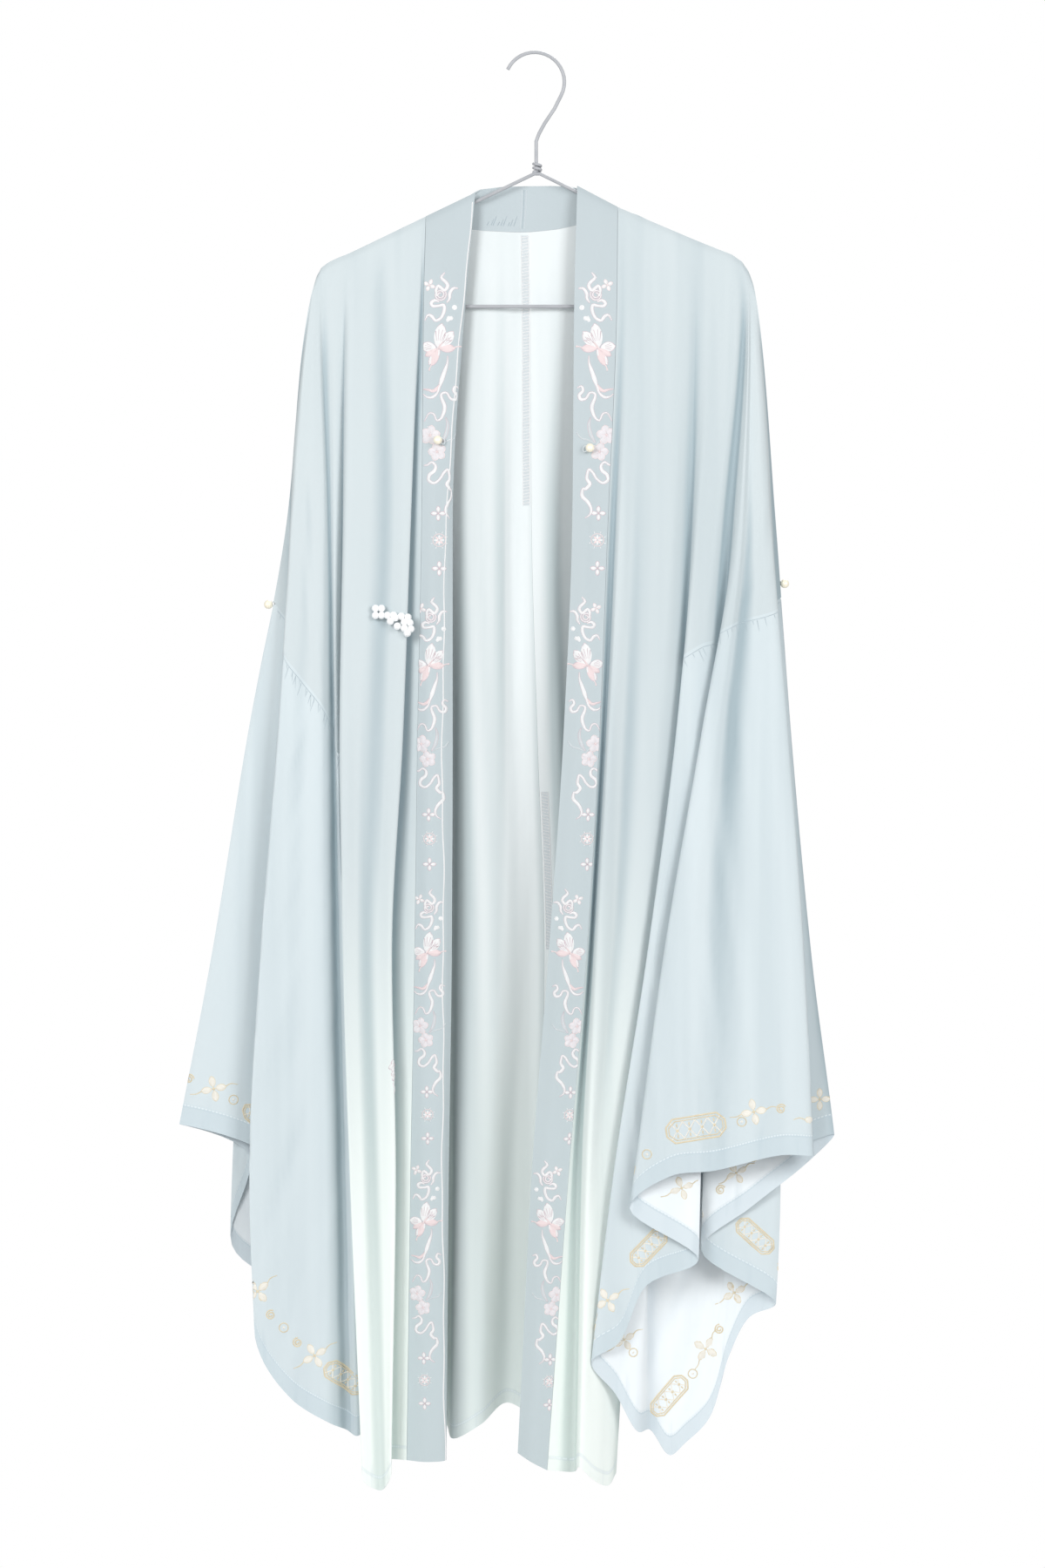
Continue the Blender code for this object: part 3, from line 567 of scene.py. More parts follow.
def smooth_path(path, count):
    """count points along a rounded curve through the path's points."""
    path = np.asarray(path, float)
    if len(path) == 2:
        share = np.linspace(0, 1, count)[:, None]
        return path[0] * (1 - share) + path[1] * share
    padded = np.vstack([2 * path[0] - path[1], path, 2 * path[-1] - path[-2]])
    at = np.linspace(0, len(path) - 1 - 1e-9, count)
    index = at.astype(int)
    t = (at - index)[:, None]
    a, b, c, d = (padded[index + offset] for offset in range(4))
    return 0.5 * (2 * b + (c - a) * t + (2 * a - 5 * b + 4 * c - d) * t**2 + (3 * b - a - 3 * c + d) * t**3)


class Needlework:
    """Raised stitching on a piece of cloth, gathered into one mesh for each thread.

    A motif starts at a place on the cloth, and is drawn in millimetres across (towards +X) and up from there.
    """

    def __init__(self, cloth, grid_number=0, inside=False, lift=0.25):
        grid, closed = cloth.grids[grid_number]
        if closed:
            grid = np.concatenate([grid, grid[:, :1]], axis=1)
        self.grid = grid
        down = np.gradient(grid, axis=0)
        across = np.gradient(grid, axis=1)
        normals = np.cross(across, down)
        normals /= np.linalg.norm(normals, axis=2)[:, :, None] + 1e-12
        # Quads run down, then across, so their normal is across x down, turned over with the shell.
        sign = 1 if cloth.flipped else -1
        self.normals = normals * sign * (-1 if inside else 1)
        self.lift = lift
        self.threads = {}

    def find(self, x, z, facing=-1):
        """The grid place whose point is at X and Z, on the layer nearest to the viewer on that side."""
        gap = np.hypot(self.grid[:, :, 0] - x, self.grid[:, :, 2] - z)
        shows = self.normals[:, :, 1] * facing > 0.05
        gap = np.where(shows, gap, 1e6)
        near = gap < max(gap.min() * 1.2, gap.min() + 5)
        depth = np.where(near, self.grid[:, :, 1] * -facing + gap * 0.3, 1e6)
        row, column = np.unravel_index(np.argmin(depth), depth.shape)
        return tuple(float(value) for value in self.settle(float(row), float(column), x, z))

    def settle(self, row, column, x, z):
        """The grid places near these rows and columns whose points are at X and Z."""
        for _ in range(8):
            here = self.sample(self.grid, row, column)
            by_row = self.sample(self.grid, row + 0.5, column) - self.sample(self.grid, row - 0.5, column)
            by_column = self.sample(self.grid, row, column + 0.5) - self.sample(self.grid, row, column - 0.5)
            spread = by_row[..., 0] * by_column[..., 2] - by_row[..., 2] * by_column[..., 0]
            spread = np.where(np.abs(spread) < 0.05, 1e9, spread)
            miss_x, miss_z = x - here[..., 0], z - here[..., 2]
            row_move = (miss_x * by_column[..., 2] - miss_z * by_column[..., 0]) / spread
            column_move = (by_row[..., 0] * miss_z - by_row[..., 2] * miss_x) / spread
            row = np.clip(row + np.clip(row_move, -1, 1), 0, self.grid.shape[0] - 1)
            column = np.clip(column + np.clip(column_move, -1, 1), 0, self.grid.shape[1] - 1)
        return row, column

    @staticmethod
    def sample(field, row, column):
        rows, columns = field.shape[:2]
        row, column = np.clip(row, 0, rows - 1.001), np.clip(column, 0, columns - 1.001)
        r, c = np.int64(row), np.int64(column)
        a, b = np.asarray(row - r)[..., None], np.asarray(column - c)[..., None]
        top = field[r, c] * (1 - b) + field[r, c + 1] * b
        low = field[r + 1, c] * (1 - b) + field[r + 1, c + 1] * b
        return top * (1 - a) + low * a

    def start(self, place, turn=0.0, size=1.0, mirror=1.0, straight=False):
        """Sets where the next shapes are drawn from: place is (row, column) on the grid.

        The shapes follow the cloth's own rows, or with straight, the plane of X and Z.
        """
        self.row, self.column = place
        self.straight = straight
        self.turn, self.size, self.mirror = radians(turn), size, mirror
        whole = int(round(self.row))
        near = int(np.clip(round(self.column), 1, self.grid.shape[1] - 2))
        self.way = np.sign(self.grid[whole, near + 1, 0] - self.grid[whole, near - 1, 0]) or 1.0
        self.column_down = Cloth.lengths(self.grid, 0)[:, near]

    def places(self, shape):
        """Grid places of points given across and up from the start."""
        shape = np.asarray(shape, float) * self.size
        across = (shape[:, 0] * cos(self.turn) - shape[:, 1] * sin(self.turn)) * self.mirror
        up = shape[:, 0] * sin(self.turn) + shape[:, 1] * cos(self.turn)
        rows, columns = self.grid.shape[:2]
        here = np.interp(self.row, np.arange(rows), self.column_down)
        row = np.interp(here - up, self.column_down, np.arange(rows))
        lengths = Cloth.lengths(self.grid, 1)
        column = np.empty(len(row))
        for number, (at_row, shift) in enumerate(zip(row, across * self.way)):
            low = int(min(at_row, rows - 2))
            share = at_row - low
            measure = lengths[low] * (1 - share) + lengths[low + 1] * share
            base = np.interp(self.column, np.arange(columns), measure)
            column[number] = np.interp(base + shift, measure, np.arange(columns))
        if self.straight:
            start = self.sample(self.grid, self.row, self.column)
            row, column = self.settle(row, column, start[0] + across, start[2] + up)
        return row, column

    def add(self, thread, shape, heights, faces, marks):
        row, column = self.places(shape)
        points = self.sample(self.grid, row, column)
        normals = self.sample(self.normals, row, column)
        points = points + normals * (self.lift + np.asarray(heights))[:, None]
        vertices, polygons, uvs = self.threads.setdefault(thread, ([], [], []))
        start = len(vertices)
        vertices.extend(points)
        polygons.extend([[start + corner for corner in face] for face in faces])
        uvs.extend([[marks[corner] for corner in face] for face in faces])

    def strand(self, thread, path, widths, height=0.5, count=None, profile=None):
        """A satin-stitched strip along the path: widths at even spaces along it, rounded across."""
        path = np.asarray(path, float)
        span = np.hypot(*np.diff(path, axis=0).T).sum()
        count = count or int(np.clip(span / 1.8, 5, 72))
        centre = smooth_path(path, count)
        run = np.concatenate([[0], np.cumsum(np.hypot(*np.diff(centre, axis=0).T))])
        if profile == "petal":
            share = np.linspace(0, 1, count)
            width = widths * (0.1 + 0.9 * np.sin(pi * share**1.1) ** 0.65)
        else:
            widths = np.atleast_1d(np.asarray(widths, float))
            width = np.interp(np.linspace(0, 1, count), np.linspace(0, 1, len(widths)), widths)
        along = np.gradient(centre, axis=0)
        along /= np.linalg.norm(along, axis=1)[:, None] + 1e-9
        aside = np.column_stack([-along[:, 1], along[:, 0]])
        shape, heights, marks, faces = [], [], [], []
        for offset, rise in ((-0.5, 0.0), (-0.25, 0.8), (0.0, 1.0), (0.25, 0.8), (0.5, 0.0)):
            shape.append(centre + aside * (width * offset)[:, None])
            heights.append(np.full(count, rise * height))
            marks.extend([(x * MM, offset * w * MM) for x, w in zip(run, width)])
        for strip in range(4):
            for step in range(count - 1):
                a, b = strip * count + step, (strip + 1) * count + step
                faces.append([a, a + 1, b + 1, b])
        # The flat underside closes the strip.
        for step in range(count - 1):
            faces.append([step, 4 * count + step, 4 * count + step + 1, step + 1])
        faces.append([0, count, 2 * count, 3 * count, 4 * count])
        last = count - 1
        faces.append([4 * count + last, 3 * count + last, 2 * count + last, count + last, last])
        self.add(thread, np.vstack(shape), np.concatenate(heights), faces, marks)

    def petal(self, thread, centre, angle, length, width, height=0.6, gap=0.0):
        way = np.array([cos(radians(angle)), sin(radians(angle))])
        centre = np.asarray(centre, float)
        ends = [centre + way * gap, centre + way * (gap + length)]
        self.strand(thread, ends, width, height, 8, "petal")

    def ring(self, thread, centre, radius, width=1.0, height=0.45, turns=1.0, shrink=1.0, start=0.0):
        count = int(14 * turns) + 1
        angles = radians(start) + np.linspace(0, 2 * pi * turns, count)
        radii = radius * np.linspace(1, shrink, count)
        path = np.column_stack([centre[0] + radii * np.cos(angles), centre[1] + radii * np.sin(angles)])
        self.strand(thread, path, width, height, count)

    def knot(self, thread, centre, radius, height=0.7):
        """A small raised dot."""
        angles = np.linspace(0, 2 * pi, 8, endpoint=False)
        shape, heights, marks = [], [], []
        for share, rise in ((1.0, 0.0), (0.6, 0.8)):
            reach = radius * share
            shape += [(centre[0] + reach * cos(a), centre[1] + reach * sin(a)) for a in angles]
            heights += [rise * height] * 8
        shape.append(centre)
        heights.append(height)
        marks = [(x * MM, y * MM) for x, y in shape]
        faces = [[k, (k + 1) % 8, 8 + (k + 1) % 8, 8 + k] for k in range(8)]
        faces += [[8 + k, 8 + (k + 1) % 8, 16] for k in range(8)]
        faces.append([7 - k for k in range(8)])
        self.add(thread, shape, heights, faces, marks)


def joined_stitching(name, workings, thread, material):
    """One mesh of all the stitches in this thread."""
    vertices, polygons, uvs = [], [], []
    for working in workings:
        if thread not in working.threads:
            continue
        points, faces, marks = working.threads[thread]
        start = len(vertices)
        vertices.extend(points)
        polygons.extend([[start + corner for corner in face] for face in faces])
        uvs.extend(marks)
    mesh = bpy.data.meshes.new(name)
    mesh.from_pydata((np.array(vertices) * MM).tolist(), [], polygons)
    marks = mesh.uv_layers.new(name="cut")
    marks.data.foreach_set("uv", np.array([mark for face in uvs for mark in face], float).ravel())
    shape = bmesh.new()
    shape.from_mesh(mesh)
    bmesh.ops.recalc_face_normals(shape, faces=shape.faces)
    shape.to_mesh(mesh)
    shape.free()
    mesh.shade_smooth()
    mesh.set_sharp_from_angle(angle=radians(60))
    mesh.materials.append(material)
    piece = bpy.data.objects.new(name, mesh)
    bpy.context.scene.collection.objects.link(piece)
    return piece


class Amount:
    """A shader socket that plain arithmetic works on; each expression adds its Math nodes."""

    def __init__(self, finish, socket):
        self.finish = finish
        self.socket = socket

    def worked(self, operation, *values):
        made = self.finish.node("ShaderNodeMath", dict(operation=operation), *values)
        return Amount(self.finish, made.outputs[0])

    def __add__(self, other):
        return self.worked("ADD", self, other)

    def __sub__(self, other):
        return self.worked("SUBTRACT", self, other)

    def __rsub__(self, other):
        return self.worked("SUBTRACT", other, self)

    def __mul__(self, other):
        return self.worked("MULTIPLY", self, other)

    __radd__ = __add__
    __rmul__ = __mul__

    def sine(self):
        return self.worked("SINE", self)

    def size(self):
        return self.worked("ABSOLUTE", self)

    def fraction(self):
        return self.worked("FRACT", self)

    def rising(self, low, high):
        """0 below low and 1 above high, smooth between."""
        made = self.finish.node(
            "ShaderNodeMapRange", dict(interpolation_type="SMOOTHSTEP"), self, low, high, 0.0, 1.0
        )
        return Amount(self.finish, made.outputs[0])

    def strip(self, middle, half, soft):
        """1 within half of the middle, falling to 0 over soft."""
        return 1 - (self - middle).size().rising(half, half + soft)


class Finish:
    """A procedural material: one shader, and short ways to add what feeds it."""

    def __init__(self, name, roughness=0.5, **constants):
        self.material = bpy.data.materials.new(name)
        self.material.use_nodes = True
        self.tree = self.material.node_tree
        self.shader = self.tree.nodes["Principled BSDF"]
        self.shader.inputs["Roughness"].default_value = roughness
        for socket, value in constants.items():
            self.shader.inputs[socket.replace("_", " ")].default_value = value
        self.place = self.node("ShaderNodeTexCoord").outputs["Object"]

    def feed(self, socket, value):
        """Links the value to the socket, or sets it there."""
        value = value.socket if isinstance(value, Amount) else value
        if isinstance(value, bpy.types.NodeSocket):
            self.tree.links.new(value, socket)
        else:
            socket.default_value = value

    def node(self, kind, settings=None, *values, **named):
        made = self.tree.nodes.new(kind)
        for setting, value in (settings or {}).items():
            setattr(made, setting, value)
        for socket, value in list(zip(made.inputs, values)) + [(made.inputs[k], v) for k, v in named.items()]:
            self.feed(socket, value)
        return made

    def axes(self, vector=None):
        made = self.node("ShaderNodeSeparateXYZ", None, vector or self.place)
        return [Amount(self, output) for output in made.outputs]

    def cut(self):
        """The piece's own cut: how far across it, and how far up from its hem, in metres."""
        return self.axes(self.node("ShaderNodeUVMap", dict(uv_map="cut")).outputs[0])[:2]

    def stretched(self, across, deep, up):
        """Object coordinates, scaled by this much along X, Y and Z."""
        scale = (across, deep, up)
        return self.node("ShaderNodeVectorMath", dict(operation="MULTIPLY"), self.place, scale).outputs[0]

    def noise(self, vector, scale=1.0, detail=2.0):
        made = self.node("ShaderNodeTexNoise", None, Vector=vector, Scale=scale, Detail=detail)
        return Amount(self, made.outputs["Fac"])

    def mixed(self, share, first, second):
        made = self.node("ShaderNodeMix", dict(data_type="RGBA"))
        for socket, value in (("Factor", share), ("A", first), ("B", second)):
            self.feed([s for s in made.inputs if s.name == socket and s.enabled][0], value)
        return [s for s in made.outputs if s.enabled][0]

    def colour(self, value):
        self.feed(self.shader.inputs["Base Color"], value)

    def rough(self, value):
        self.feed(self.shader.inputs["Roughness"], value)

    def raised(self, height, strength=0.3, distance=0.001):
        bump = self.node("ShaderNodeBump", None, Strength=strength, Distance=distance, Height=height)
        self.feed(self.shader.inputs["Normal"], bump.outputs[0])


def dye(red, green, blue):
    """A colour from its 0 to 255 screen values."""
    shares = [value / 255 for value in (red, green, blue)]
    return (*(s / 12.92 if s <= 0.04045 else ((s + 0.055) / 1.055) ** 2.4 for s in shares), 1.0)


# Between these heights, in metres, the robe fades to its low colour, and the painted shade in its folds
# softens.
FADE_LOW, FADE_HIGH = -1.3, -0.72
SOFT_LOW, SOFT_HIGH = -1.35, -0.75
# Threads in each metre of the weaves.
CHIFFON_THREADS = 2400
SATIN_THREADS = 1500


def chiffon(name, high, low, shade, hem_band=0.0, low_painted_shade=None, hem=0.013):
    """Smooth satin chiffon: it fades down its length, with a fine weave, soft slubs and a sewn hem, and with
    painted shade in its fold valleys and in soft vertical streaks.
    """
    cloth = Finish(name, 0.55, Sheen_Weight=0.15, Sheen_Roughness=0.4, Specular_IOR_Level=0.35)
    across, up = cloth.cut()
    height = cloth.axes()[2]
    patches = cloth.noise(cloth.stretched(9, 9, 2.2), 1.0, 3.0)
    colour = high
    if low:
        share = 1 - (height + (patches - 0.5) * 0.12).rising(FADE_LOW, FADE_HIGH)
        colour = cloth.mixed(share, high, low)
    colour = cloth.mixed((patches - 0.35) * 0.16, colour, dye(244, 249, 252))
    # Painted shade: the colour turns towards the shade colour in the valleys of the folds, by each point's
    # fold depth, and in soft vertical streaks; the shade is mintier low down and weaker towards the hem.
    painted_shade_streaks = cloth.noise(cloth.stretched(34, 34, 0.9), 1.0, 2.0)
    depth = cloth.node("ShaderNodeAttribute", dict(attribute_name="fold_depth"))
    tone = Amount(cloth, depth.outputs["Fac"])
    upper = height.rising(SOFT_LOW, SOFT_HIGH)
    softer = 1 - (1 - upper) * 0.45
    painted_fold_shade = (tone.rising(0.47, 0.85) + painted_shade_streaks.rising(0.38, 0.72) * 0.22) * softer
    painted_shade_colour = cloth.mixed(upper, low_painted_shade or shade, shade)
    colour = cloth.mixed(painted_fold_shade, colour, painted_shade_colour)
    stitch = up.strip(hem, 0.0005, 0.0004) * (across * 420).fraction().rising(0.25, 0.45)
    fold = up.strip(hem, 0.0012, 0.0014)
    deep = (1 - up.rising(hem - 0.0006, hem + 0.0006)) * hem_band
    colour = cloth.mixed(deep + fold * 0.22, colour, dye(186, 203, 212))
    colour = cloth.mixed(stitch * 0.55, colour, dye(236, 243, 246))
    warp = (across * (2 * pi * CHIFFON_THREADS)).sine()
    weft = (up * (2 * pi * CHIFFON_THREADS)).sine()
    slub = cloth.noise(cloth.stretched(700, 700, 60), 1.0, 2.0)
    along = cloth.node("ShaderNodeCombineXYZ", None, across * 95, up * 9, 0.0).outputs[0]
    pucker = (cloth.noise(along, 1.0, 2.0) - 0.5) * (1 - up.rising(hem * 0.9, hem * 2.6))
    crease = cloth.noise(cloth.stretched(46, 46, 5), 1.0, 2.0)
    cloth.rough(patches * 0.12 + (slub * 0.1 + 0.42))
    # Painted shade on the puckers near the hem.
    cloth.colour(cloth.mixed(pucker.rising(0.02, 0.3) * 0.3, colour, dye(176, 194, 203)))
    weave = warp * weft * 0.04
    cloth.raised(pucker * 1.6 + weave + slub * 0.08 + crease * 0.9 + fold * 0.35 + stitch * 0.4, 0.25)
    return cloth.material


def band_satin():
    """The collar band: closer satin than the robe, a little bluer."""
    satin = Finish("band_satin", 0.5, Sheen_Weight=0.12, Sheen_Roughness=0.35, Specular_IOR_Level=0.4)
    across = satin.cut()[0]
    height = satin.axes()[2]
    patches = satin.noise(satin.stretched(14, 14, 4), 1.0, 3.0)
    colour = satin.mixed(height.rising(-1.4, -0.3), dye(188, 200, 203), dye(184, 195, 199))
    colour = satin.mixed((patches - 0.3) * 0.3, colour, dye(206, 217, 224))
    warp = (across * (2 * pi * SATIN_THREADS)).sine()
    crease = satin.noise(satin.stretched(60, 60, 14), 1.0, 3.0)
    slub = satin.noise(satin.stretched(900, 900, 90), 1.0, 2.0)
    satin.colour(colour)
    satin.rough(patches * 0.14 + (slub * 0.08 + 0.38))
    satin.raised(warp * 0.04 + slub * 0.1 + crease * 1.0, 0.3)
    return satin.material


def thread(name, colour, shade, roughness=0.38):
    """Embroidery floss: fine parallel threads across each stitched strip."""
    floss = Finish(name, roughness, Sheen_Weight=0.25, Sheen_Roughness=0.3)
    along, across = floss.cut()
    strands = ((along + across * 0.35) * (2 * pi * 2200)).sine()
    patches = floss.noise(floss.stretched(160, 160, 160), 1.0, 2.0)
    # Painted shade in the grooves between the strands, with random patches of the deeper colour.
    groove_shade_and_patches = (0.5 - strands * 0.5) * 0.35 + (patches - 0.5) * 0.5
    floss.colour(floss.mixed(groove_shade_and_patches, colour, shade))
    floss.rough(patches * 0.2 + (roughness - 0.1))
    floss.raised(strands * 0.5 + patches * 0.5, 0.5, 0.0004)
    return floss.material


def pearl_lustre(name, light, deep):
    """A soft, slightly cloudy shine."""
    pearl = Finish(name, 0.3, Coat_Weight=0.4, Coat_Roughness=0.2, Specular_IOR_Level=0.5)
    cloud = pearl.noise(pearl.stretched(240, 240, 240), 1.0, 2.0)
    pearl.colour(pearl.mixed(cloud, light, deep))
    pearl.rough(cloud * 0.12 + 0.24)
    pearl.raised(cloud * 0.5, 0.1)
    return pearl.material


def drawn_wire():
    """Satin-finished drawn wire with faint lengthwise scratches and duller patches."""
    steel = Finish("drawn_wire", 0.5, Metallic=0.1)
    patches = steel.noise(steel.stretched(70, 70, 70), 1.0, 3.0)
    scratches = steel.noise(steel.stretched(900, 900, 120), 1.0, 2.0)
    steel.colour(steel.mixed(patches, dye(192, 194, 198), dye(166, 169, 174)))
    steel.rough(patches * 0.15 + (scratches * 0.1 + 0.45))
    steel.raised(scratches * 0.5, 0.05, 0.0002)
    return steel.material


def edged_petal(work, thread, line, centre, angle, length, width, height=0.6, gap=0.0):
    """A satin petal with a fine outline round it."""
    work.petal(line, centre, angle, length + 1.0, width + 1.3, height * 0.45, gap - 0.4)
    work.petal(thread, centre, angle, length, width, height, gap)


def quatrefoil(work, thread, heart, centre, size, turn=0.0):
    """Four petals round a knot."""
    x, y = centre
    for quarter in range(4):
        angle = turn + 90 * quarter
        edged_petal(work, thread, heart, (x, y), angle, size * 0.8, size * 0.52, 0.5, size * 0.16)
    work.knot(heart, (x, y), size * 0.13)


def blossom(work, thread, heart, centre, size, turn=0.0):
    """A five-petalled plum blossom with a ring of stamens."""
    x, y = centre
    for number in range(5):
        angle = turn + 90 + 72 * number
        edged_petal(work, thread, heart, (x, y), angle, size * 0.9, size * 0.84, 0.7, size * 0.1)
        tip = x + size * 0.52 * cos(radians(angle)), y + size * 0.52 * sin(radians(angle))
        work.strand(heart, [(x, y), tip], [0.7, 0.4], 0.9, 4)
    work.knot(heart, (x, y), size * 0.16, 1.0)


def roundel(work, thread, heart, centre, size):
    """A ring round an eight-petalled star, with small rays outside."""
    x, y = centre
    work.ring(heart, (x, y), size, 0.9)
    for number in range(8):
        angle = 45 * number
        work.petal(heart if number % 2 else thread, (x, y), angle, size * 0.72, size * 0.36, 0.4, size * 0.1)
        way = cos(radians(angle + 22)), sin(radians(angle + 22))
        ray = [(x + way[0] * size * far, y + way[1] * size * far) for far in (1.12, 1.42)]
        work.strand(thread, ray, [0.9, 0.7], 0.4, 3)


def ribbon(work, thread, line, path, widths):
    """A satin ribbon with a fine outline on both sides."""
    widths = np.array(widths, float)
    work.strand(line, path, widths + 0.8, 0.25)
    work.strand(thread, path, widths, 0.55)


def veined_wing(work, thread, line, root, angle, length, width):
    """A long wing with a round tip, veins from its root and a scalloped inner line."""
    edged_petal(work, thread, line, root, angle, length, width, 0.6)
    x, y = root
    for aside in (-17, -6, 6, 17):
        way = cos(radians(angle + aside)), sin(radians(angle + aside))
        ends = length * 0.3, length * (0.8 - abs(aside) * 0.006)
        work.strand(line, [(x + way[0] * end, y + way[1] * end) for end in ends], [0.5, 0.9], 0.75, 6)


def butterfly(work, white, pink, line):
    """A butterfly side on: two veined upper wings, two pointed lower wings, a body and feelers."""
    veined_wing(work, white, line, (3.5, -1.0), 100, 24.5, 12.5)
    veined_wing(work, white, line, (1.0, -1.5), 128, 21.0, 11.5)
    veined_wing(work, white, line, (5.5, -1.0), 8, 14.5, 10.5)
    edged_petal(work, white, line, (1.5, -3.0), 306, 18, 8)
    edged_petal(work, pink, line, (2.0, -1.0), 183, 15.5, 8.5, 0.8)
    edged_petal(work, pink, line, (3.0, -1.5), 292, 18.5, 8.5, 0.8)
    edged_petal(work, pink, line, (4.0, -2.0), 330, 13.5, 6.5, 0.8)
    work.strand(pink, [(-1.5, 4.5), (2.0, 0.0), (6.0, -5.0)], [1.6, 3.0, 1.4], 1.3)
    for path in (((-12.5, -1), (-16, 0.3), (-19.5, 0.5)), ((9.5, -18), (11.5, -21), (12, -24))):
        work.strand(pink, path, [1.6, 1.2, 2.0], 0.6)
    for end in ((-8, 9), (-10, 6)):
        work.strand(line, [(-1.5, 3.5), (-4.5, 6.8), end], [0.7, 0.6, 1.0], 0.9)


def cloud_scroll(work, white, pink, line):
    """A curled cloud with loose ribbon ends, two knots and a small flower."""
    ribbon(
        work,
        white,
        line,
        [(-3.6, 75), (-0.2, 70), (-5, 65), (-6.4, 61), (-3, 57), (2.8, 61.5), (5.2, 57), (4, 51)],
        [0.8, 2.8, 3.2, 3.4, 3.2, 3.0, 2.6, 1.4],
    )
    work.ring(line, (1.0, 52.5), 6.2, 2.3, 0.35, 1.9, 0.24, 150)
    work.ring(white, (1.0, 52.5), 6.2, 1.4, 0.7, 1.9, 0.24, 150)
    ribbon(
        work,
        white,
        line,
        [(2, 45.5), (6.6, 47), (10, 44.5), (8.4, 41.2), (2.4, 41.4), (-2.4, 42), (-3, 36.5), (0, 29.5),
         (5.6, 26.5), (9.6, 31), (13.6, 32), (16.6, 26.8)],
        [1.0, 2.8, 3.4, 2.8, 2.4, 3.2, 3.2, 2.8, 2.8, 3.2, 2.0, 0.6],
    )
    tail = [(-17, 59), (-12, 59), (-8.6, 54), (-8.4, 49), (-5.5, 44.5)]
    ribbon(work, white, line, tail, [0.7, 2.8, 3.2, 2.6, 1.0])
    quatrefoil(work, white, pink, (12, 62.5), 6.0, 24)
    work.knot(white, (-13.4, 39.7), 2.8)
    for angle, length in ((70, 5), (118, 5), (20, 4)):
        work.petal(white, (-8.6, 26.5), angle, length, 4.6)


def ribbon_tails(work, white, pink, line):
    """Two ribbons that trail below the butterfly into a hooked wave."""
    ribbon(
        work,
        white,
        line,
        [(-6.4, -9), (-6.2, -16.4), (-3.8, -23.8), (-0.8, -32.6), (1.6, -39.9), (4, -46.5),
         (8.6, -50.6), (14, -50.6), (18.4, -47.4)],
        [0.6, 1.8, 3.6, 4.6, 2.2, 2.0, 2.8, 1.6, 0.5],
    )
    hook = [(1.6, -38), (4.8, -42.5), (8.4, -44.6), (12.4, -43.4), (18.2, -42.4)]
    ribbon(work, pink, line, hook, [0.8, 3.4, 3.2, 1.8, 0.6])
    ribbon(
        work,
        white,
        line,
        [(-18.2, -41.4), (-13.9, -39.9), (-12.4, -44.3), (-16, -48.7), (-14.5, -53), (-9.3, -52.2),
         (-5.6, -46.5), (-0.5, -47.4), (-0.4, -51.8), (-3.2, -59), (-3, -64.8), (0, -72), (4.4, -74.2),
         (7.4, -67.8), (12.4, -67.2), (17, -75)],
        [0.6, 2.0, 2.8, 3.2, 3.2, 2.2, 1.8, 2.0, 2.6, 3.6, 3.4, 2.4, 1.6, 1.6, 1.2, 0.5],
    )


def spray(work, pink, line, leaf):
    """Two plum blossoms on a stem, with narrow leaves."""
    ribbon(work, leaf, line, [(-4.5, -71), (-6.5, -79), (-4.5, -89), (0, -97)], [0.5, 2.6, 3.4, 0.8])
    work.strand(leaf, [(-19, -86), (-14.5, -92), (-8, -94), (-1, -97)], [0.9, 1.6, 1.6, 0.8], 0.5)
    work.strand(leaf, [(14, -80), (6, -92), (-2, -103)], [1.2, 1.2, 1.0], 0.4)
    blossom(work, "bloom", pink, (11, -89), 9.6, 10)
    blossom(work, "bloom", pink, (4, -106), 8.8, -14)


def wave_ribbon(work, white, line):
    """The long folded ribbon below the blossoms."""
    ribbon(
        work,
        white,
        line,
        [(17.4, -119.5), (13.8, -119), (9.4, -116.4), (5.8, -119.8), (6.6, -124.8), (11.6, -129),
         (12.4, -134.6), (7, -137.4), (1.2, -133.2), (-2.6, -127), (-6.4, -123.8), (-8, -128),
         (-8.4, -133.5), (-5.6, -138.6), (-9.6, -143.4), (-12.6, -143.6), (-13.2, -150.6), (-7.4, -157),
         (-4.2, -164), (-5.6, -169.6), (-10.4, -173)],
        [0.6, 1.6, 2.0, 2.6, 3.4, 3.4, 3.0, 2.4, 2.2, 2.4, 2.2, 2.4, 3.0, 3.6, 3.0, 1.8, 3.6, 3.4, 2.4,
         1.6, 0.5],
    )


def band_repeat(work, white, pink, line, leaf):
    """All the motifs of one repeat, with the butterfly at its start."""
    cloud_scroll(work, white, pink, line)
    ribbon_tails(work, white, pink, line)
    butterfly(work, white, pink, line)
    wave_ribbon(work, white, line)
    spray(work, pink, line, leaf)
    quatrefoil(work, white, line, (3, -168), 7.2)
    roundel(work, white, pink, (2, -195), 6.4)
    quatrefoil(work, white, line, (2, -223.5), 7.2)


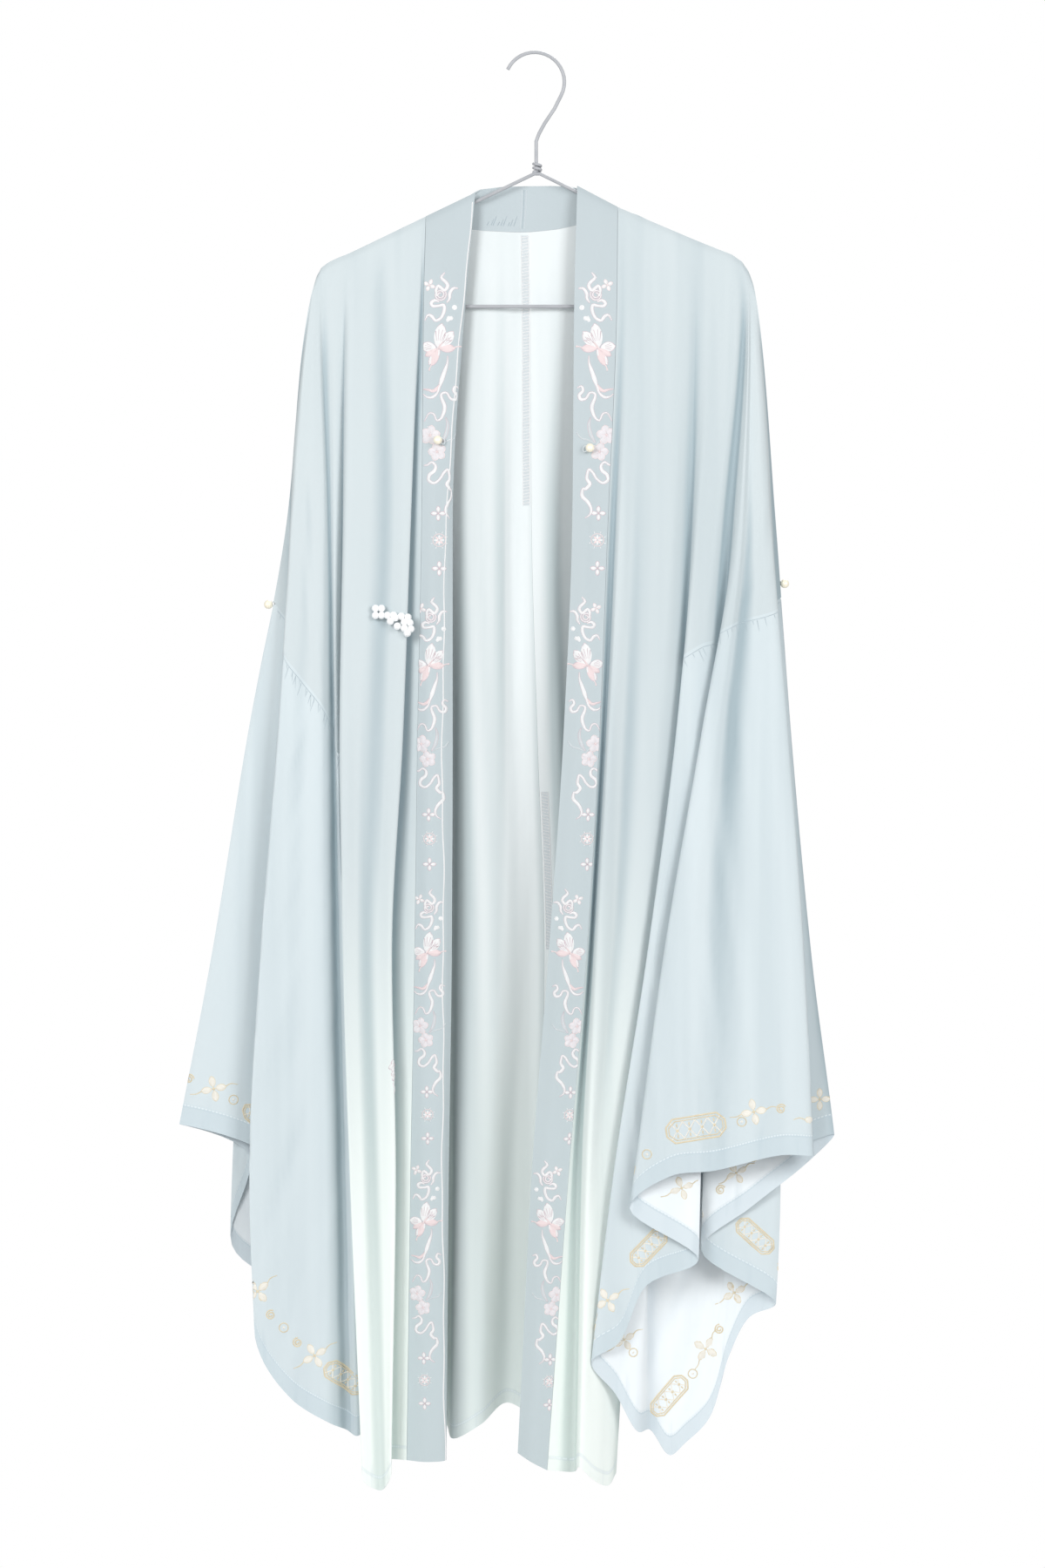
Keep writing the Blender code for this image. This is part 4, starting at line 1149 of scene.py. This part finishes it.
def lattice_panel(work, gold, pale, width, height, aside=0.0):
    """A long eight-sided frame with a diamond lattice, and knots at its crossings."""
    w, h, c = width / 2, height / 2, height / 3.2
    corners = [(-w, -h + c), (-w, h - c), (-w + c, h), (w - c, h)]
    corners += [(-x, -y) for x, y in corners]
    for inset, breadth in ((1.0, 1.9), (0.78, 1.2)):
        edge = [(aside + x * (1 - (1 - inset) * h / w), y * inset) for x, y in corners]
        for first, second in zip(edge, edge[1:] + edge[:1]):
            (x, y), (far_x, far_y) = first, second
            side = [(x + (far_x - x) * share, y + (far_y - y) * share) for share in (0, 0.5, 1)]
            work.strand(gold, side, [breadth], 0.6, 9)
    cells = max(2, int(width / height * 1.6))
    run = width * 0.84 / cells
    for cell in range(cells):
        left = aside - width * 0.42 + cell * run
        for low, high in ((-1, 1), (1, -1)):
            work.strand(pale, [(left, low * h * 0.7), (left + run, high * h * 0.7)], [1.3], 0.45, 7)
        for up in (-1, 1):
            work.petal(gold, (left + run / 2, up * h * 0.62), -90 * up, h * 0.34, 1.8, 0.5)
        work.knot(gold, (left + run / 2, 0), 1.7)


def curl(work, thread, centre, size):
    """A small spiral."""
    work.ring(thread, centre, size, 1.5, 0.6, 1.8, 0.22)


def dotted_ring(work, thread, heart, centre, size):
    """A ring round a knot."""
    work.ring(thread, centre, size, 1.2, 0.6)
    work.knot(heart, centre, size * 0.3)


# The cloths' colours: each one's shade colour, such as shadow_blue, is the painted shade in the valleys of
# its folds.
blue, mint = dye(202, 212, 215), dye(243, 250, 246)
shadow_blue = dye(160, 177, 184)
robe_outer = chiffon("robe_chiffon", blue, mint, shadow_blue, low_painted_shade=dye(184, 200, 196))
robe_inner = chiffon("robe_inner_side", dye(228, 234, 235), dye(230, 239, 236), dye(192, 204, 206))
sleeve_outer = chiffon("sleeve_chiffon", dye(208, 219, 223), None, shadow_blue, 0.34, hem=0.020)
sleeve_inner = chiffon("sleeve_inner_side", dye(238, 244, 247), None, dye(204, 216, 224), 0.5, hem=0.020)
collar_cloth = band_satin()
# Each thread: its name, its light colour, and its deep colour, for the painted shade between its strands and
# its random patches.
FLOSSES = {
    "white": ("white_floss", (252, 252, 252), (226, 229, 233)),
    "pink": ("pink_floss", (246, 230, 230), (234, 208, 212)),
    "line": ("rose_outline_floss", (222, 202, 208), (196, 172, 184)),
    "leaf": ("grey_leaf_floss", (224, 229, 232), (194, 203, 209)),
    "gold": ("pale_gold_floss", (238, 226, 198), (198, 180, 142)),
    "cream": ("cream_floss", (250, 247, 238), (222, 214, 196)),
    "bloom": ("lilac_bloom_floss", (243, 240, 243), (216, 209, 217)),
    "pale": ("pale_blue_thread", (226, 233, 237), (204, 214, 220)),
    "seam": ("seam_and_gather_shade_thread", (184, 198, 205), (168, 184, 192)),
    "tape": ("overlock_tape", (222, 229, 232), (206, 215, 220)),
}
THREADS = {kind: thread(name, dye(*light), dye(*deep)) for kind, (name, light, deep) in FLOSSES.items()}
pearl = pearl_lustre("pearl_lustre", dye(255, 248, 228), dye(250, 240, 218))
white_pearl = pearl_lustre("white_pearl_lustre", dye(255, 255, 255), dye(244, 247, 249))
steel = drawn_wire()

# Fold tables of each piece.
fronts = {"left": (FRONT_LEFT, SLEEVE_FRONT_LEFT), "right": (FRONT_RIGHT, SLEEVE_FRONT_RIGHT)}
backs = {
    "right": ((shifted(BACK_RIGHT[0], -SEAM_GAP / 2),) + BACK_RIGHT[1:], SLEEVE_BACK_RIGHT[::-1]),
    "left": ((shifted(BACK_LEFT[0], SEAM_GAP / 2),) + BACK_LEFT[1:], SLEEVE_BACK_LEFT[::-1]),
}
under = {"left": SLEEVE_UNDER_LEFT, "right": SLEEVE_UNDER_RIGHT}

cloths, pieces, seams = {}, {}, {}
for arm in ("right", "left"):
    cloths[f"front_{arm}"], front_seam = body_panel(arm, *fronts[arm], False)
    cloths[f"back_{arm}"], back_seam = body_panel(arm, *backs[arm], True)
    cloths[f"sleeve_{arm}"] = sleeve_tube(
        arm, fronts[arm][1], under[arm], backs[arm][1], front_seam, back_seam
    )
cloths["collar_left"] = collar_band("left", FRONT_LEFT[0], COLLAR_LEFT, -1)
cloths["collar_right"] = collar_band("right", FRONT_RIGHT[0], COLLAR_RIGHT, 1)
top_row = [point for arm in ("right", "left") for point in cloths[f"back_{arm}"].grids[0][0][0]]
top_row += [point for arm in ("right", "left") for point in cloths[f"back_{arm}"].grids[1][0][0][1:]]
cloths["collar_neck"] = neck_band(top_row)

for name, cloth in cloths.items():
    if name.startswith("collar"):
        shell = (COLLAR_THICKNESS, collar_cloth, collar_cloth)
    elif name.startswith("sleeve"):
        shell = (CLOTH_THICKNESS, sleeve_outer, sleeve_inner)
    else:
        shell = (CLOTH_THICKNESS, robe_outer, robe_inner)
    pieces[name] = cloth.shell(*shell, outward=1 if name.startswith("back") else -1)
    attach(pieces[name], "root")
    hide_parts(name)


workings = {}


def needlework(name, inside=False):
    """A new working on the named sheet, kept with the others on it."""
    thickness = COLLAR_THICKNESS if name.startswith("collar") else CLOTH_THICKNESS
    work = Needlework(cloths[name], inside=inside, lift=thickness / 2 - 0.05)
    workings.setdefault(name, []).append(work)
    return work


# Embroidery down the collar band: the height of each repeat's butterfly.
REPEATS = ((-297.0, 1.0), (-617.0, 0.9), (-906.0, 0.84), (-1177.0, 0.82))
BAND_MIDDLE_COLUMN = BODY_STEPS

for arm, mirror in (("left", 1.0), ("right", -1.0)):
    work = needlework(f"collar_{arm}")
    heights = work.grid[:, BAND_MIDDLE_COLUMN, 2]
    for height, size in REPEATS:
        row = float(np.interp(-height, -heights, np.arange(len(heights))))
        work.start((row, BAND_MIDDLE_COLUMN), size=size, mirror=mirror, straight=True)
        band_repeat(work, "white", "pink", "line", "leaf")

# A thin white wavy strand along the edge of the wearer's right band, where its lip turns back.
work = needlework("collar_right")
edge_column = 2 * BODY_STEPS
work.start((2.0, float(edge_column)))
run = float(Cloth.lengths(work.grid, 0)[-1, edge_column]) - 6
edge = [(0.7 * sin(drop / 33) + 0.5 * sin(drop / 13), -drop) for drop in np.linspace(0, run, 160)]
work.strand("white", edge, 1.5, 0.5, 400)

# The neck band's centre seam, and short dark strokes beside the seam to the back: painted shade where the
# band gathers.
work = needlework("collar_neck")
work.start(work.find(-10.6, -135))
work.strand("seam", [(0, -1), (0.4, -20), (0, -40)], 1.0, 0.3)
for side in (-2.2, 2.2):
    work.strand("pale", [(side, -1), (side + 0.4, -20), (side, -40)], 0.6, 0.3)
work.start(work.find(-34, -172))
for number in range(9):
    across = -14 + 3.4 * number + 0.8 * sin(number * 2.3)
    work.strand("seam", [(across, 0), (across + 0.8, 4 + 3 * (number % 3))], [1.1, 0.3], 0.35, 5)

# Cuff embroidery, on each side of the cloth that shows:
# the kind of motif, its X and Z, its size and its turn.
CUFFS = {
    ("right", False): (
        ("curl", -349, -1035, 5.0, 0),
        ("quatrefoil", -324, -1045, 13.0, 12),
        ("ring", -304, -1056, 4.6, 0),
        ("tucked", -290, -1067, 17.0, -20),
        ("quatrefoil", -278, -1246, 13.0, 40),
        ("curl", -265, -1270, 5.0, 60),
        ("ring", -252, -1283, 4.6, 0),
        ("curl", -238, -1298, 5.0, 90),
        ("quatrefoil", -221, -1311, 13.0, 30),
        ("panel", -192, -1335, 18.0, -38),
    ),
    ("left", False): (
        ("ring", 112, -1107, 4.6, 0),
        ("panel", 161, -1081, 24.0, 8),
        ("ring", 207, -1075, 4.6, 0),
        ("quatrefoil", 219, -1065, 13.0, 12),
        ("curl", 246, -1062, 5.0, 30),
        ("quatrefoil", 287, -1055, 11.0, 0),
        ("panel", 114, -1202, 18.0, 46),
        ("panel", 222, -1193, 18.0, -42),
        ("quatrefoil", 73, -1255, 13.0, 30),
    ),
    ("left", True): (
        ("quatrefoil", 147, -1142, 12.0, 20),
        ("curl", 187, -1146, 5.0, 30),
        ("quatrefoil", 203, -1129, 11.0, 30),
        ("ring", 220, -1113, 4.4, 0),
        ("quatrefoil", 202, -1252, 12.0, 30),
        ("curl", 187, -1289, 5.0, 90),
        ("quatrefoil", 173, -1309, 13.0, 60),
        ("ring", 160, -1334, 4.6, 0),
        ("panel", 136, -1356, 19.0, 48),
        ("quatrefoil", 90, -1296, 11.0, 30),
        ("ring", 99, -1309, 4.2, 0),
    ),
}


def cuff_motif(work, kind, size):
    """One motif of the cuffs. A tucked panel starts at its place and runs on into the fold."""
    if kind == "quatrefoil":
        quatrefoil(work, "cream", "gold", (0, 0), size)
        for way in (-1, 1):
            stem = [(way * size * 0.95, 0), (way * size * 1.4, 1.6 * way), (way * size * 1.9, -0.6)]
            work.strand("gold", stem, [1.3, 1.1, 0.8], 0.4)
    elif kind == "curl":
        curl(work, "gold", (0, 0), size)
    elif kind == "ring":
        dotted_ring(work, "gold", "cream", (0, 0), size)
    else:
        lattice_panel(work, "gold", "cream", size * 2.5, size, size if kind == "tucked" else 0.0)


for (arm, inside), motifs in CUFFS.items():
    work = needlework(f"sleeve_{arm}", inside)
    for kind, x, z, size, turn in motifs:
        work.start(work.find(x, z), turn, straight=kind != "tucked")
        cuff_motif(work, kind, size)

# The same chain runs on round the back of each cuff.
CUFF_RISE = 36.0
CHAIN_STEP = 38.0
CHAIN = (("quatrefoil", 13.0), ("curl", 5.0), ("ring", 4.6), ("curl", 5.0))
for arm in ("left", "right"):
    work = needlework(f"sleeve_{arm}")
    lengths = Cloth.lengths(work.grid, 0)
    rise = lengths[-1] - lengths
    upwards = np.arange(len(rise))[::-1]
    rows = [float(np.interp(CUFF_RISE, column[::-1], upwards)) for column in rise.T]
    travelled, number, last = 0.0, 0, None
    for column in range(4, work.grid.shape[1] - 4):
        here = work.sample(work.grid, rows[column], column)
        faces_back = work.sample(work.normals, rows[column], column)[1] > 0.35
        travelled += 0.0 if last is None else float(np.linalg.norm(here - last))
        last = here
        if faces_back and travelled > CHAIN_STEP:
            kind, size = CHAIN[number % len(CHAIN)]
            work.start((rows[column], float(column)), 20 * (number % 3))
            cuff_motif(work, kind, size)
            travelled, number = 0.0, number + 1

# The sewn sleeve seams: a fine line, with short dark strokes below it, painted shade where the cloth gathers.
for arm in ("left", "right"):
    work = needlework(f"sleeve_{arm}")
    columns = work.grid.shape[1]
    for first, last in ((2, 11 * ARM_STEPS), (columns - 11 * ARM_STEPS, columns - 3)):
        last = min(last, columns - 3)
        work.start((0.4, float(first)))
        run = float(np.diff(Cloth.lengths(work.grid, 1)[0][[first, last]])[0]) * work.way
        work.strand("seam", [(share * run, 0) for share in np.linspace(0, 1, 60)], 0.7, 0.25, 150)
        for number, at in enumerate(np.arange(5, abs(run) - 4, 7.5)):
            across = (at + 2 * sin(number * 1.7)) * work.way
            work.strand("seam", [(across, -1), (across + 0.5, -5 - 4 * (number % 3))], [1.0, 0.3], 0.25, 5)

# Overlocked seam allowance inside the centre back: a tape with rungs of thread across it.
OVERLOCK_WIDTH = 8.0
RUNG_STEP = 3.2
for arm, top, low, side in (("right", -182, -455, -1), ("left", -745, -905, 1)):
    work = needlework(f"back_{arm}", True)
    heights = work.grid[:, 0, 2]
    row = float(np.interp(-top, -heights, np.arange(len(heights))))
    work.start((row, 0.5))
    length = top - low
    middle = side * (OVERLOCK_WIDTH / 2 + 0.3)
    work.strand("tape", [(middle, -drop) for drop in np.linspace(0, length, 12)], OVERLOCK_WIDTH, 0.25, 70)
    for aside in (0.6, OVERLOCK_WIDTH):
        work.strand("white", [(side * aside, -drop) for drop in np.linspace(0, length, 12)], 0.8, 0.5, 70)
    for drop in np.arange(1.0, length, RUNG_STEP):
        work.strand("white", [(side * 0.6, -drop), (side * OVERLOCK_WIDTH, -drop - 1.2)], 0.9, 0.55, 3)

# A small worked spray in the fold beside the wearer's right band.
work = needlework("front_right")
work.start(work.find(-134, -1022), size=0.7)
blossom(work, "white", "line", (0, 12), 9.0, 20)
blossom(work, "white", "line", (3, -2), 9.0, -10)
ribbon(work, "white", "line", [(2, -8), (-3, -15), (1, -21), (-2, -28)], [1.0, 2.6, 2.2, 0.6])

stitched = {name: [] for name in cloths}
for name, works in workings.items():
    for shade in THREADS:
        if not any(shade in work.threads for work in works):
            continue
        piece = joined_stitching(f"{name}_{shade}_stitches", works, shade, THREADS[shade])
        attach(piece, "root")
        stitched[name].append(piece)


def wire_piece(name, path, diameter, material):
    """A bent wire or a tight thread through the points, in millimetres."""
    bpy.ops.object.select_all(action="DESELECT")
    bpy.ops.curve.primitive_nurbs_path_add(location=(0.0, 0.0, 0.0))
    bent = bpy.context.object
    bent.data.splines.clear()
    spline = bent.data.splines.new("POLY")
    spline.points.add(len(path) - 1)
    for point, place in zip(spline.points, path):
        point.co = (*(value * MM for value in place), 1.0)
    bent.data.bevel_depth = diameter / 2 * MM
    bent.data.bevel_resolution = 3
    bent.data.use_fill_caps = True
    bpy.ops.object.convert(target="MESH")
    piece = bpy.context.object
    piece.name = name
    piece.data.shade_smooth()
    piece.data.set_sharp_from_angle(angle=radians(50))
    piece.data.materials.clear()
    piece.data.materials.append(material)
    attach(piece, "root")
    return piece


# The hook's wire is wound round the frame's corner, and its end stands out to the side.
APEX_X, APEX_Z = 2.5, -121.0
WINDING_RADIUS = 3.6
WINDING_TURNS = 2.1
WINDING_TOP, WINDING_HEIGHT = 10.5, 8.5
winding = []
for step in range(60):
    turn = 2 * pi * WINDING_TURNS * step / 59 + 2.4
    x, y = APEX_X + WINDING_RADIUS * cos(turn), WINDING_RADIUS * sin(turn)
    winding.append((x, y, APEX_Z + WINDING_TOP - WINDING_HEIGHT * step / 59))
x, y, z = winding[-1]
winding += [(x + 1.5, y - 0.8, z + 0.2), (x + 3.6, y - 0.6, z + 1.2), (x + 5.2, y + 0.2, z + 2.6)]
wire_piece("hook_winding", winding, 3.0, steel)

# Thread loops that hold the pearls.
for node, reach in (
    ("sleeve_button_right", (7.0, 0, 0.5)),
    ("sleeve_button_left", (-7.0, 0, 0.5)),
    ("band_button_right", (5.5, 2.2, -1.0)),
    ("band_button_left", (-5.5, 2.2, -1.0)),
):
    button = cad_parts[node]
    corners = np.array([button.matrix_world @ Vector(corner) for corner in button.bound_box]) / MM
    middle = (corners.min(axis=0) + corners.max(axis=0)) / 2
    loop = []
    for step in range(21):
        turn = 2 * pi * step / 20
        out = np.array(reach) * (0.55 + 0.45 * (1 - cos(turn)) / 2 * 1.6)
        loop.append(middle + out + np.array([0.0, 0.0, 3.0 * sin(turn)]))
    piece = wire_piece(f"{node}_loop", loop, 0.9, THREADS["pale"])
    owner = "collar_" if node.startswith("band") else "sleeve_"
    stitched[owner + node.rsplit("_", 1)[1]].append(piece)

KEPT_NODES = {
    pearl: ("band_button_left", "band_button_right", "sleeve_button_left", "sleeve_button_right"),
    white_pearl: ("bead_cluster",),
    steel: ("hanger_frame", "hanger_hook"),
}
for finish, nodes in KEPT_NODES.items():
    for node in nodes:
        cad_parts[node].material_slots[0].material = finish

# The cut of each sheet, left and right alike: its width and length, its area, and what it hangs from.
CUTS = {
    "front": (0.34, 1.28, 0.18, ("hanger_frame",)),
    "back": (0.42, 1.25, 0.26, ("hanger_frame",)),
    "sleeve": (1.10, 0.80, 0.31, ("front_{arm}", "back_{arm}")),
    "collar": (0.055, 1.28, 0.052, ("front_{arm}",)),
    "neck": (0.19, 0.05, 0.0065, ("back_left", "back_right")),
}
for name, piece in pieces.items():
    kind, arm = name.split("_")
    width, length, area, hung_from = CUTS["neck" if arm == "neck" else kind]


# The camera looks straight on from in front, and the floor lies well below the hem.
VIEW_CENTRE = (-0.0123, -0.7374)
VIEW_DISTANCE = 4.0
VIEW_HEIGHT = 1.584
SENSOR_HEIGHT = 36.0
FLOOR_Z = -1.9

camera_data = bpy.data.cameras.new("camera")
camera_data.sensor_fit = "VERTICAL"
camera_data.sensor_height = SENSOR_HEIGHT
camera_data.lens = SENSOR_HEIGHT * VIEW_DISTANCE / VIEW_HEIGHT
camera = bpy.data.objects.new("camera", camera_data)
camera.location = (VIEW_CENTRE[0], -VIEW_DISTANCE, VIEW_CENTRE[1])
camera.rotation_euler = (pi / 2, 0.0, 0.0)
bpy.context.scene.collection.objects.link(camera)
bpy.context.scene.camera = camera

bpy.ops.object.select_all(action="DESELECT")
bpy.ops.mesh.primitive_plane_add(size=2.6, location=(0.0, 0.0, FLOOR_Z))
floor = bpy.context.object
floor.name = "pale_floor"
floor_finish = Finish("pale_floor", 0.8)
floor_finish.colour((0.85, 0.85, 0.85, 1.0))
floor.data.materials.append(floor_finish.material)

world = bpy.data.worlds.new("studio")
bpy.context.scene.world = world
world.use_nodes = True
sky = world.node_tree.nodes["Background"]
sky.inputs["Color"].default_value = (1.0, 1.0, 1.0, 1.0)
# The ground looks white, and lights the robe less than it shows.
seen = world.node_tree.nodes.new("ShaderNodeLightPath")
strength = world.node_tree.nodes.new("ShaderNodeMapRange")
strength.inputs["To Min"].default_value = 0.48
strength.inputs["To Max"].default_value = 1.0
world.node_tree.links.new(seen.outputs["Is Camera Ray"], strength.inputs["Value"])
world.node_tree.links.new(strength.outputs[0], sky.inputs["Strength"])


ROBE_MIDDLE = Vector((0.0, 0.0, -0.7))


def soft_light(name, place, width, height, watts):
    """A large soft light at the place, in metres, aimed at the robe's middle."""
    data = bpy.data.lights.new(name, "AREA")
    data.shape = "RECTANGLE"
    data.size, data.size_y, data.energy = width, height, watts
    lamp = bpy.data.objects.new(name, data)
    lamp.location = place
    lamp.rotation_euler = (ROBE_MIDDLE - Vector(place)).to_track_quat("-Z", "Y").to_euler()
    bpy.context.scene.collection.objects.link(lamp)


soft_light("window_light", (-1.7, -2.8, 0.4), 1.1, 1.5, 56.0)
soft_light("fill_light", (1.9, -2.5, 0.2), 1.3, 1.8, 44.0)
soft_light("back_light", (0.6, 2.2, 1.9), 1.4, 1.4, 64.0)

bpy.context.scene.view_settings.view_transform = "Standard"
bpy.context.view_layer.update()
